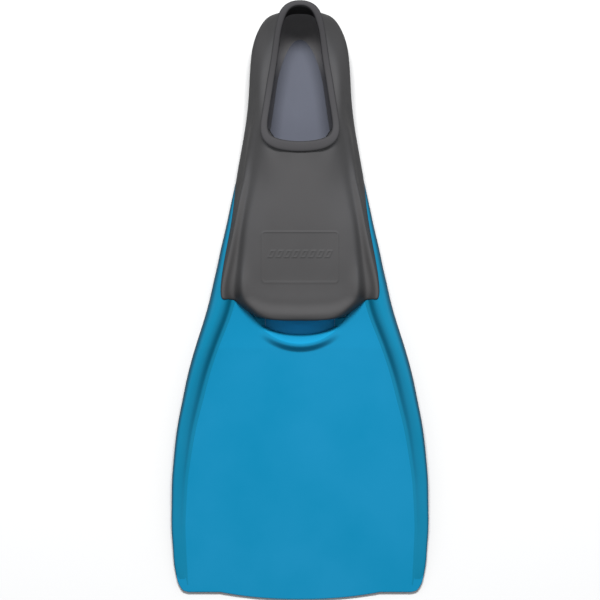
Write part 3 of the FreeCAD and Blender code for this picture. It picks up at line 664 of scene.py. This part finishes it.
def front_strip(front_out, front_in):
    """The front edge's thickness, tucked back under the lip and inside the sleeves."""
    tucked = front_out.copy()
    tucked[:, 1] += TUCK_UPPER * smoothstep(*SLEEVE_TURN, np.abs(tucked[:, 0]))
    middle = 0.5 * (tucked + front_in)
    beside = smoothstep(*SLEEVE_TURN, np.abs(middle[:, 0]))
    floor = np.minimum(middle[:, 2], OUTSOLE_TOP + 1.0)
    middle[:, 1] += TUCK_MIDDLE * beside
    middle[:, 2] = np.maximum(middle[:, 2] - TUCK_DOWN * beside, floor)
    return np.stack([front_out, tucked, middle, front_in])


def front_edge(band, top):
    """A skin's edge in front of the toes, from the right wall to the left one."""
    return np.concatenate([band[0], top[-1][1:-1], band[-1][::-1]])


def make_pocket():
    outer = SkinKeys(HEEL_RINGS, TOE_ROWS, FRONT_RIM)
    band, top = outer_skin(outer)
    add_relief(band)
    add_relief(top)
    inner = SkinKeys(INNER_RINGS, INNER_ROWS, INNER_FRONT_RIM)
    wall, ceiling = inner_skin(inner, band.shape[1], top.shape[1])

    last = len(outer.runs)
    round_heel = slice(last - 1, -last + 1)
    collar = int(wall.shape[1] * COLLAR_SHARE)
    shell = Shell()
    shell.grid(band, shade=OUTSIDE)
    shell.grid(top, shade=OUTSIDE)
    shell.grid(wall[:, :collar + 1], shade=INSIDE)
    # The collar round the opening is nearly black: painted shadow under the rim
    shell.grid(wall[last:-last, collar:], shade=PAINTED_SHADOW)
    shell.grid(wall[:last + 1, collar:], shade=INSIDE)
    shell.grid(wall[-last - 1:, collar:], shade=INSIDE)
    shell.grid(ceiling, shade=INSIDE)
    shell.grid(sole_strip(band[:, 0], wall[:, 0]))
    shell.grid(np.stack([band[round_heel, -1], wall[round_heel, -1]]))
    shell.grid(np.stack([top[0], ceiling[0]]))
    shell.grid(front_strip(front_edge(band, top), front_edge(wall, ceiling)))
    shell.build("pocket_skin", replaces="foot_pocket", slot="pocket",
                materials=[RUBBER, LINING, COLLAR_PAINTED_SHADOW])


# ---------------------------------------------------------------- rim bead

# Half of the bead: its centre (across, along, up), half width and half height
RIM_STATIONS = np.array([
    (0.0, 277.0, 67.6, 2.6, 3.2),
    (6.0, 276.2, 67.4, 2.7, 3.2),
    (11.0, 273.6, 66.4, 3.1, 3.2),
    (14.9, 269.2, 64.6, 3.4, 3.2),
    (17.9, 262.0, 61.6, 3.4, 3.2),
    (20.2, 252.5, 57.6, 3.1, 3.2),
    (22.3, 238.0, 52.9, 3.15, 3.2),
    (24.1, 224.4, 50.6, 3.2, 3.2),
    (27.2, 206.0, 50.6, 3.3, 3.2),
    (30.2, 187.0, 53.6, 3.35, 3.2),
    (32.9, 170.0, 57.8, 3.4, 3.2),
    (33.5, 160.0, 61.4, 3.7, 3.2),
    (30.4, 151.4, 65.8, 4.3, 3.1),
    (24.0, 146.8, 68.8, 4.8, 3.0),
    (12.6, 143.9, 71.2, 5.0, 3.0),
    (0.0, 143.1, 72.0, 5.0, 3.0),
], float)
# Below 1 the bead's section is squarer than an ellipse
BEAD_SQUARENESS = 0.78
BEAD_SAMPLES = 420
BEAD_AROUND = 28


def squared(wave):
    return np.sign(wave) * np.abs(wave) ** BEAD_SQUARENESS


def sweep_ring(centres, half_widths, half_heights):
    """Rings of a bead along a closed path that lies mostly flat."""
    along = np.roll(centres, -1, axis=0) - np.roll(centres, 1, axis=0)
    along /= np.linalg.norm(along, axis=1, keepdims=True)
    sideways = np.cross(along, np.array([0.0, 0.0, 1.0]))
    sideways /= np.linalg.norm(sideways, axis=1, keepdims=True)
    over = np.cross(sideways, along)
    turn = np.linspace(0.0, 2.0 * math.pi, BEAD_AROUND, endpoint=False)[None, :, None]
    wide = squared(np.cos(turn)) * half_widths[:, None, None] * sideways[:, None, :]
    high = squared(np.sin(turn)) * half_heights[:, None, None] * over[:, None, :]
    return centres[:, None, :] + wide + high


def make_rim():
    other = RIM_STATIONS[-2:0:-1] * np.array([-1.0, 1.0, 1.0, 1.0, 1.0])
    loop = np.concatenate([RIM_STATIONS, other])
    wrapped = closed_path(loop)
    knots = mean_knots(wrapped[:, :3])
    end = knots[PAD + len(loop)]
    samples = np.linspace(knots[PAD], end, int(BEAD_SAMPLES / FINE), endpoint=False)
    path = spline_read(wrapped, knots, samples)
    rings = sweep_ring(path[:, :3], path[:, 3], path[:, 4])
    shell = Shell()
    shell.grid(np.concatenate([rings, rings[:1]]), wrap=True)
    shell.build("rim_bead", replaces="opening_rim", slot="rim", materials=[BEAD_RUBBER])


# ---------------------------------------------------------------- blade

# The tip's corners, and the furthest point of its curved edge
TIP_LINE = -273.2
TIP_ALONG = -280.0
TIP_CORNER = 8.0
TIP_BULGE = 6.7
TIP_BULGE_HALF = 74.6
TIP_BULGE_POWER = 2.16

# Place along the blade, and half width there
BLADE_EDGE = np.array([
    (108.0, 60.6), (86.0, 65.4), (66.0, 69.7), (47.0, 74.2), (32.0, 77.3), (16.0, 81.0),
    (0.0, 84.6), (-18.7, 89.8), (-37.4, 95.8), (-56.1, 101.4), (-74.8, 106.1), (-93.5, 109.9),
    (-112.0, 113.6), (-130.9, 116.4), (-150.0, 118.3), (-168.0, 119.7), (-190.0, 120.1),
    (-215.0, 120.1), (-233.8, 118.8), (-243.0, 118.2), (-252.5, 116.9), (-261.8, 114.8),
    (-268.0, 112.6),
], float)

# The panel slopes down from here to the tip, and is thickest at the vent
SLOPE_START = -45.0
SLOPE_HIGH = 15.6
SLOPE_LOW = 1.3
THICK_VENT = 3.6
THICK_TIP = 2.4


def edge_at(y):
    """Half width of the blade at each place along it."""
    keys = BLADE_EDGE[::-1]
    inside = np.atleast_1d(y).clip(keys[0, 0], keys[-1, 0])
    return spline_read(keys[:, 1:], keys[:, 0], inside)[:, 0]


def panel_middle(y):
    """Mid height of the panel along the blade, which slopes down to the tip."""
    slope = (SLOPE_HIGH - SLOPE_LOW) / (SLOPE_START - TIP_ALONG)
    return SLOPE_LOW + slope * (np.minimum(y, SLOPE_START) - TIP_ALONG)


def panel_half(y):
    """Half the panel's thickness along the blade."""
    share = (np.minimum(y, 0.0) - TIP_ALONG) / (0.0 - TIP_ALONG)
    return 0.5 * (THICK_TIP + (THICK_VENT - THICK_TIP) * share)


def panel_top(y):
    return panel_middle(y) + panel_half(y)


# Along each rail: place, width, crest inside the edge, rise over the panel, keel
RAIL_STATIONS = np.array([
    (108.0, 4.0, 1.9, 2.2, 2.6), (98.0, 8.0, 3.6, 5.2, 5.6), (70.0, 12.0, 5.0, 8.0, 8.2),
    (35.0, 18.0, 8.0, 10.0, 10.6), (0.0, 23.8, 10.3, 11.2, 11.6), (-30.0, 23.0, 8.9, 11.4, 10.4),
    (-60.0, 21.0, 7.4, 10.6, 9.0), (-95.0, 19.2, 5.3, 8.8, 6.8), (-140.0, 16.4, 4.9, 6.2, 4.4),
    (-187.0, 13.8, 4.2, 4.2, 2.9), (-230.0, 12.4, 3.2, 2.7, 1.9), (-252.0, 11.4, 2.9, 2.0, 1.4),
    (-266.0, 8.6, 2.6, 0.7, 0.7),
], float)
RAIL_SAMPLES = 16
RAIL_AROUND = 96

# The rounded ends of a rail: share of the section, and how far out it stands
RAIL_END = [(1.0, 0.0), (0.93, 0.7), (0.78, 1.3), (0.4, 1.7), (0.0, 1.8)]


def rail_profile(station):
    """One closed section of the right rail."""
    y, width, crest_in, rise, keel = station
    outer = float(edge_at(y)[0])
    inner = outer - width
    crest = outer - crest_in
    flank = inner - crest
    base = float(panel_middle(y))
    half = float(panel_half(y))
    over = base + half
    below = base - half
    section = [
        (outer, base),
        (outer - crest_in * 0.10, base + rise * 0.42),
        (outer - crest_in * 0.42, base + rise * 0.83),
        (crest, base + rise),
        (crest + flank * 0.26, over + (rise - half) * 0.90),
        (crest + flank * 0.48, over + (rise - half) * 0.66),
        (crest + flank * 0.66, over + (rise - half) * 0.34),
        (crest + flank * 0.82, over + (rise - half) * 0.10),
        (inner, over + 0.04),
        (inner - 1.4, base + half * 0.3),
        (inner + 0.6, below - 0.1),
        (crest + flank * 0.70, below - (keel - half) * 0.30),
        (crest + flank * 0.34, below - (keel - half) * 0.86),
        (crest, base - keel),
        (outer - crest_in * 0.42, base - keel * 0.80),
        (outer - crest_in * 0.10, base - keel * 0.38),
    ]
    return [(x, y, z) for x, z in section]


def make_rail(side):
    """The rail on side +1 or -1."""
    knots = np.arange(len(RAIL_STATIONS), dtype=float)
    stations = spline_read(RAIL_STATIONS[::-1], knots, spread(knots, 1.0 / RAIL_SAMPLES))
    sections = np.array([rail_profile(row) for row in stations])
    count = sections.shape[1]
    wrapped = closed_path(sections, axis=1)
    knots = mean_knots(np.moveaxis(wrapped, 0, 1))
    samples = np.linspace(knots[PAD], knots[PAD + count], RAIL_AROUND, endpoint=False)
    rings = np.stack([spline_read(row, knots, samples) for row in wrapped])
    rings[..., 0] *= side
    shell = Shell()
    shell.grid(rings, wrap=True)
    for ring, way in ((rings[0], -1.0), (rings[-1], 1.0)):
        middle = ring.mean(axis=0)
        cap = [middle + (ring - middle) * share + [0.0, way * out, 0.0]
               for share, out in RAIL_END]
        shell.grid(np.stack(cap), wrap=True)
    name = "rail_left" if side < 0 else "rail_right"
    shell.build(name + "_form", replaces=name, slot="rail", materials=[RAIL_BLUE])


# The lip's crest and the ramp's foot are arcs about these places on the middle line
LIP_CENTRE = 9.4
LIP_RADIUS = 50.0
RAMP_CENTRE = 40.3
RAMP_RADIUS = 72.8
LIP_SWEEP = math.radians(46.0)
LIP_TOP = 24.2
# The lip's rounded crest: height, width, and where across it the highest point lies
LIP_ROUND = 0.9
LIP_WIDTH = 2.0
LIP_PEAK = 0.62
LIP_FALL = 0.4
# How far below the crest the ramp's foot ends where the lip does
LIP_END_DROP = 5.0
# How far ahead of the crest the outer slope ends on the panel
LIP_REACH = 8.6
# The ramp's visible foot, and the hidden level it goes down to in the middle
RAMP_LEVEL = 9.6
RAMP_BURIED = 5.0
RAMP_STEPS = 14
RAMP_ARCH = 0.10
# The ramp's foot beside the vent's tongue
APRON_HALF = 32.9
APRON_LEVEL = 10.5
APRON_FADE = (-17.6, -16.2)
# Rear edge of the panel beside the lip, hidden under the pocket
HIDDEN_EDGE = [(42.0, -17.0), (49.0, -9.0), (57.0, -2.0), (64.0, 2.0), (71.0, 4.0)]

PANEL_COLUMNS = 150
PANEL_ROWS = 230
LIP_STEPS = 8
SLOPE_STEPS = 12
# Share of the columns that lie on the lip's arc
LIP_SHARE = 0.62
# Smallest gap between the ramp's foot and the crest
LEAST_GAP = 0.4
# Places between which the panel's edge comes out from inside the rails
BARE_TIP = (-240.0, -262.0)
# Share of a rail's width that the panel reaches into, and its step in from a bare edge
RAIL_OVERLAP = 0.55
BARE_STEP = 0.25
PANEL_ROUND = 0.35
PANEL_LOWEST = 0.05


def ramp_gap(angle):
    """How far the ramp's foot lies inside the lip's crest at each angle."""
    apart = RAMP_CENTRE - LIP_CENTRE
    root = RAMP_RADIUS ** 2 - (apart * np.sin(angle)) ** 2
    return LIP_RADIUS - (np.sqrt(root) - apart * np.cos(angle))


def rear_columns(count):
    """The panel's rear edge in plan, its angles, and how far each point is past the lip.

    The last is 0 in the middle, and 1 where the edge is hidden under the pocket.
    """
    lip = np.linspace(0.0, LIP_SWEEP, int(count * LIP_SHARE), endpoint=False)
    arc = np.stack([LIP_RADIUS * np.sin(lip), LIP_CENTRE - LIP_RADIUS * np.cos(lip)], axis=1)
    end = (LIP_RADIUS * math.sin(LIP_SWEEP), LIP_CENTRE - LIP_RADIUS * math.cos(LIP_SWEEP))
    hidden = np.array([end] + HIDDEN_EDGE)
    knots = mean_knots(hidden)
    rest = spline_read(hidden, knots, np.linspace(0.0, knots[-1], count - len(arc)))
    right = np.concatenate([arc, rest])
    angle = np.concatenate([lip, LIP_SWEEP * (1.0 - np.linspace(0.0, 1.0, len(rest)))])
    fade = np.concatenate([(lip / LIP_SWEEP) ** 2, np.ones(len(rest))])
    left = right[:0:-1] * np.array([-1.0, 1.0])
    angles = np.concatenate([-angle[:0:-1], angle])
    return np.concatenate([left, right]), angles, np.concatenate([fade[:0:-1], fade])


def lip_rows():
    """Rows of the panel's top from the ramp's foot, over the lip, to the flat panel."""
    crest, angle, fade = rear_columns(int(PANEL_COLUMNS / FINE))
    outward = np.stack([np.sin(angle), -np.cos(angle)], axis=1)
    bare = fade >= 1.0
    crest_level = LIP_TOP - (LIP_TOP - panel_top(crest[:, 1])) * smoothstep(0.0, 1.0, fade)
    under_crest = crest_level - LIP_ROUND

    gap = np.where(bare, LEAST_GAP, np.maximum(ramp_gap(angle), LEAST_GAP))
    foot = crest - outward * gap[:, None]
    beside = RAMP_LEVEL + (crest_level - LIP_END_DROP - RAMP_LEVEL) * fade ** 3
    foot_level = np.where(bare, panel_middle(crest[:, 1]), beside)
    apron = np.where(bare, 1.0 - smoothstep(*APRON_FADE, crest[:, 1]), 0.0)
    foot[:, 0] += (np.sign(foot[:, 0]) * APRON_HALF - foot[:, 0]) * apron
    foot_level += (APRON_LEVEL - foot_level) * apron

    rows = [np.column_stack([foot, RAMP_BURIED + (foot_level - RAMP_BURIED) * fade ** 3])]
    for part in np.linspace(0.0, 1.0, RAMP_STEPS):
        arched = part + RAMP_ARCH * math.sin(math.pi * part)
        plan = crest + (foot - crest) * (1.0 - part)
        rows.append(np.column_stack([plan, foot_level + (under_crest - foot_level) * arched]))
    for part in np.linspace(0.12, 1.0, LIP_STEPS):
        rise = LIP_ROUND * math.sin(0.5 * math.pi * min(part / LIP_PEAK, 1.0))
        drop = LIP_FALL * max(part - LIP_PEAK, 0.0)
        plan = crest + outward * (LIP_WIDTH * part)
        rows.append(np.column_stack([plan, under_crest + rise - drop]))
    start = rows[-1][:, 2]
    for part in np.linspace(0.08, 1.0, SLOPE_STEPS):
        plan = crest + outward * (LIP_WIDTH + (LIP_REACH - LIP_WIDTH) * part)
        level = start + (panel_top(plan[:, 1]) - start) * smoothstep(0.0, 1.0, part)
        rows.append(np.column_stack([plan, level]))
    return rows


def sheet_half(y):
    """Half width of the flat panel, which ends inside the rails and is bare at the tip."""
    edge = float(edge_at(y)[0])
    rail = np.interp(y, RAIL_STATIONS[::-1, 0], RAIL_STATIONS[::-1, 1])
    hidden = edge - rail * RAIL_OVERLAP
    sunk = max(TIP_LINE + TIP_CORNER - y, 0.0)
    corner = TIP_CORNER - math.sqrt(max(TIP_CORNER ** 2 - sunk ** 2, 0.0))
    shown = edge - BARE_STEP - corner
    return hidden + (shown - hidden) * float(smoothstep(*BARE_TIP, y))


def sheet_rows(start):
    """Rows of the panel's top from a first row to the curved tip."""
    rows = []
    even = np.linspace(-1.0, 1.0, len(start))
    for part in np.linspace(0.0, 1.0, int(PANEL_ROWS / FINE))[1:]:
        line = start[:, 1] + (TIP_LINE - start[:, 1]) * part
        wide = even * sheet_half(float(line[0]))
        x = start[:, 0] + (wide - start[:, 0]) * smoothstep(0.0, 0.16, part)
        bulge = TIP_BULGE * np.clip(1.0 - (np.abs(x) / TIP_BULGE_HALF) ** TIP_BULGE_POWER, 0, 1)
        y = line - bulge * smoothstep(0.55, 1.0, part)
        rows.append(np.column_stack([x, y, panel_top(y)]))
    return rows


def make_panel():
    rows = lip_rows()
    top = np.stack(rows + sheet_rows(rows[-1]))
    under = top - normals_of(top) * (2.0 * panel_half(top[..., 1]))[..., None]
    under[..., 2] = np.maximum(under[..., 2], PANEL_LOWEST)
    ramp_end = RAMP_STEPS + 1
    shell = Shell()
    # The ramp's rows take the paler blue: painted light
    shell.grid(top[:ramp_end + 1], shade=1)
    shell.grid(top[ramp_end:])
    shell.grid(under)
    shell.grid(edge_strip(top, under, PANEL_ROUND), wrap=True)
    shell.build("panel_form", replaces="blade_panel", slot="blade",
                materials=[BLADE_BLUE, RAMP_PAINTED_LIGHT])


# ---------------------------------------------------------------- plate, footbed, tread

PLATE_SAMPLES = 300
SLAB_ROUND = 0.3
FOOTBED_ROUND = 0.15
FOOTBED_DISH = 0.35

# Place along each piece, and half width there
TONGUE_HALF = 32.25
PLATE_KEYS = [
    (-24.0, TONGUE_HALF), (-16.0, TONGUE_HALF), (-9.0, 32.3), (-7.0, 34.5), (-5.6, 40.0),
    (-4.0, 44.6), (-1.0, 47.2), (4.0, 48.2), (12.0, 48.4), (40.0, 46.4), (90.0, 42.0),
    (140.0, 36.4), (190.0, 30.0), (220.0, 25.4), (232.0, 21.4), (239.0, 14.0), (242.4, 6.0),
    (243.0, 1.0),
]
INSOLE_KEYS = [
    (2.0, 34.0), (3.6, 38.4), (8.0, 40.4), (30.0, 40.8), (70.0, 39.4), (112.0, 35.2),
    (143.0, 30.4), (161.0, 27.4), (187.0, 23.6), (206.0, 20.6), (224.0, 15.4), (233.8, 11.0),
    (239.4, 7.2), (242.4, 3.8), (243.6, 0.4),
]
OUTSOLE_KEYS = [
    (-4.0, 38.0), (-3.0, 43.6), (0.0, 47.4), (4.0, 49.8), (9.0, 50.8), (16.0, 50.8),
    (40.0, 49.0), (90.0, 45.0), (140.0, 40.4), (190.0, 35.4), (219.0, 31.2), (232.0, 27.6),
    (241.0, 20.6), (246.6, 12.0), (249.4, 4.6), (250.0, 0.6),
]

# The tread's cross grooves, and the fine groove inside its edge
TREAD_FIRST = 14.0
TREAD_PITCH = 13.0
TREAD_COUNT = 17
TREAD_DEPTH = 1.4
TREAD_WALL = (1.9, 1.1)
RIM_GROOVE_DEPTH = 0.7
RIM_GROOVE_IN = (6.4, 5.9)
RIM_GROOVE_OUT = (4.4, 4.9)


def slab(ys, halves, low, high, round_by, dish=None, groove=None, columns=90):
    """A flat piece with softened edges; dish and groove reshape its top and underside."""
    halves = np.asarray(halves, float)[:, None]
    x = np.linspace(-1.0, 1.0, columns)[None, :] * halves
    y = np.repeat(np.asarray(ys, float)[:, None], columns, axis=1)
    top = np.stack([x, y, np.full_like(x, high)], axis=-1)
    under = np.stack([x, y, np.full_like(x, low)], axis=-1)
    if dish is not None:
        top[..., 2] += dish(x, halves)
    if groove is not None:
        under[..., 2] += groove(x, y, halves)
    shell = Shell()
    shell.grid(top)
    shell.grid(under)
    shell.grid(edge_strip(top, under, round_by), wrap=True)
    return shell


def make_plate():
    front = []
    for behind in (0.02, 0.4, 1.2, 2.6, 4.6, 6.6, 7.4):
        half = math.sqrt(RAMP_RADIUS ** 2 - (RAMP_RADIUS - behind) ** 2)
        front.append((RAMP_CENTRE - RAMP_RADIUS + behind, min(half, TONGUE_HALF)))
    keys = np.array(front + PLATE_KEYS)
    knots = np.arange(len(keys), dtype=float)
    samples = np.linspace(0.0, knots[-1], int(PLATE_SAMPLES / FINE))
    ys = np.interp(samples, knots, keys[:, 0])
    halves = np.interp(samples, knots, keys[:, 1])
    shell = slab(ys, halves, OUTSOLE_TOP, PLATE_TOP, SLAB_ROUND)
    # The plate's paler blue is painted light
    shell.build("plate_form", replaces="sole_plate", slot="plate", materials=[PLATE_PAINTED_LIGHT])


def footbed_dish(x, half):
    """A shallow hollow along the middle of the footbed."""
    out = np.clip(np.abs(x) / np.maximum(half, 1.0), 0.0, 1.0)
    return -FOOTBED_DISH * (1.0 - out ** 2)


def make_insole():
    keys = np.array(INSOLE_KEYS)
    knots = mean_knots(keys)
    ys, halves = spline_read(keys, knots, spread(knots, 1.1)).T
    halves = np.maximum(halves, 0.05)
    shell = slab(ys, halves, PLATE_TOP, FOOTBED_TOP, FOOTBED_ROUND, dish=footbed_dish)
    shell.build("footbed", replaces="insole", slot="footbed", materials=[FOOTBED])


def tread_groove(x, y, half):
    """Depth of the cross grooves and of the groove that follows the tread's edge."""
    nearest = np.clip(np.round((y - TREAD_FIRST) / TREAD_PITCH), 0, TREAD_COUNT - 1)
    off = np.abs(y - (TREAD_FIRST + TREAD_PITCH * nearest))
    cut = TREAD_DEPTH * smoothstep(*TREAD_WALL, off)
    inside = half - np.abs(x)
    edge = smoothstep(*RIM_GROOVE_IN, inside) * smoothstep(*RIM_GROOVE_OUT, inside)
    return np.maximum(cut, RIM_GROOVE_DEPTH * edge)


def make_outsole():
    keys = np.array(OUTSOLE_KEYS)
    knots = mean_knots(keys)
    ys = np.concatenate([
        np.linspace(-4.0, 4.0, 30, endpoint=False),
        np.arange(4.0, 232.0, 0.5 * FINE),
        np.linspace(232.0, 250.0, 60),
    ])
    along = spline_read(keys, knots, np.linspace(0.0, knots[-1], 900))
    halves = np.interp(ys, along[:, 0], along[:, 1])
    shell = slab(
        ys, halves, GROUND, OUTSOLE_TOP, SLAB_ROUND, groove=tread_groove, columns=120)
    shell.build("tread", replaces="outsole", slot="tread", materials=[TREAD])


make_pocket()
make_rim()
make_panel()
make_rail(1.0)
make_rail(-1.0)
make_plate()
make_insole()
make_outsole()


# ---------------------------------------------------------------- floor, light, camera

FLOOR_SIZE = 12.0
FLOOR_LEVEL = -0.0002
FLOOR_GREY = (0.40, 0.40, 0.40, 1.0)
WORLD_STRENGTH = 0.66

CAMERA_HEIGHT = 16.0
# The level that the view's width is measured at, and that width
VIEW_LEVEL = 0.02
VIEW_WIDTH = 0.561
SENSOR_MM = 36.0


def make_floor():
    """A pale floor that only the camera sees, and only from above.

    The underside of the fin then stays lit and visible in views from below.
    """
    bpy.ops.mesh.primitive_plane_add(size=FLOOR_SIZE, location=(0.0, 0.0, FLOOR_LEVEL))
    floor = bpy.context.object
    floor.name = "floor"
    nodes = Nodes("pale_floor")
    shader = nodes.add(
        "ShaderNodeBsdfPrincipled", Base_Color=FLOOR_GREY, Roughness=0.9,
        Specular_IOR_Level=0.1)
    shown = nodes.tree.nodes.new("ShaderNodeMath")
    shown.operation = "SUBTRACT"
    shown.use_clamp = True
    nodes.link(nodes.add("ShaderNodeLightPath").outputs["Is Camera Ray"], shown.inputs[0])
    nodes.link(nodes.add("ShaderNodeNewGeometry").outputs["Backfacing"], shown.inputs[1])
    either = nodes.add("ShaderNodeMixShader")
    nodes.link(shown.outputs["Value"], either.inputs["Fac"])
    nodes.link(nodes.add("ShaderNodeBsdfTransparent").outputs["BSDF"], either.inputs[1])
    nodes.link(shader.outputs["BSDF"], either.inputs[2])
    output = nodes.add("ShaderNodeOutputMaterial")
    nodes.link(either.outputs["Shader"], output.inputs["Surface"])
    floor.data.materials.append(nodes.material)


def area_light(name, place, target, size, power):
    """A rectangular light that faces a target and isn't itself seen."""
    lamp = bpy.data.lights.new(name, "AREA")
    lamp.shape = "RECTANGLE"
    lamp.size, lamp.size_y = size
    lamp.energy = power
    holder = bpy.data.objects.new(name, lamp)
    bpy.context.scene.collection.objects.link(holder)
    holder.location = place
    holder.rotation_euler = (Vector(target) - Vector(place)).to_track_quat("-Z", "Y").to_euler()
    holder.visible_camera = False
    return holder


make_floor()

# The key has no mirror reflection, which glares on the walls in low views
key = area_light(
    "key_heel_side", place=(0.0, 1.68, 2.49), target=(0.0, 0.0, 0.0), size=(1.2, 0.5),
    power=222.0)
key.visible_glossy = False
for side in (-1.0, 1.0):
    strip = area_light(
        "strip", place=(side * 2.3, 0.4, 0.85), target=(0.0, 0.05, 0.03), size=(0.12, 2.0),
        power=12.0)
    strip.data.color = (0.74, 0.85, 1.0)

world = bpy.data.worlds.new("studio")
bpy.context.scene.world = world
world.use_nodes = True
background = world.node_tree.nodes["Background"]
background.inputs["Color"].default_value = (1.0, 1.0, 1.0, 1.0)
background.inputs["Strength"].default_value = WORLD_STRENGTH

camera_data = bpy.data.cameras.new("camera")
camera_data.sensor_width = SENSOR_MM
camera_data.lens = SENSOR_MM * (CAMERA_HEIGHT - VIEW_LEVEL) / VIEW_WIDTH
camera_data.clip_end = 50.0
camera = bpy.data.objects.new("camera", camera_data)
bpy.context.scene.collection.objects.link(camera)
camera.location = (0.0, 0.0, CAMERA_HEIGHT)
camera.rotation_euler = (0.0, 0.0, 0.0)
bpy.context.scene.camera = camera

view_settings = bpy.context.scene.view_settings
view_settings.view_transform = "Standard"
view_settings.look = "None"
view_settings.exposure = 0.0
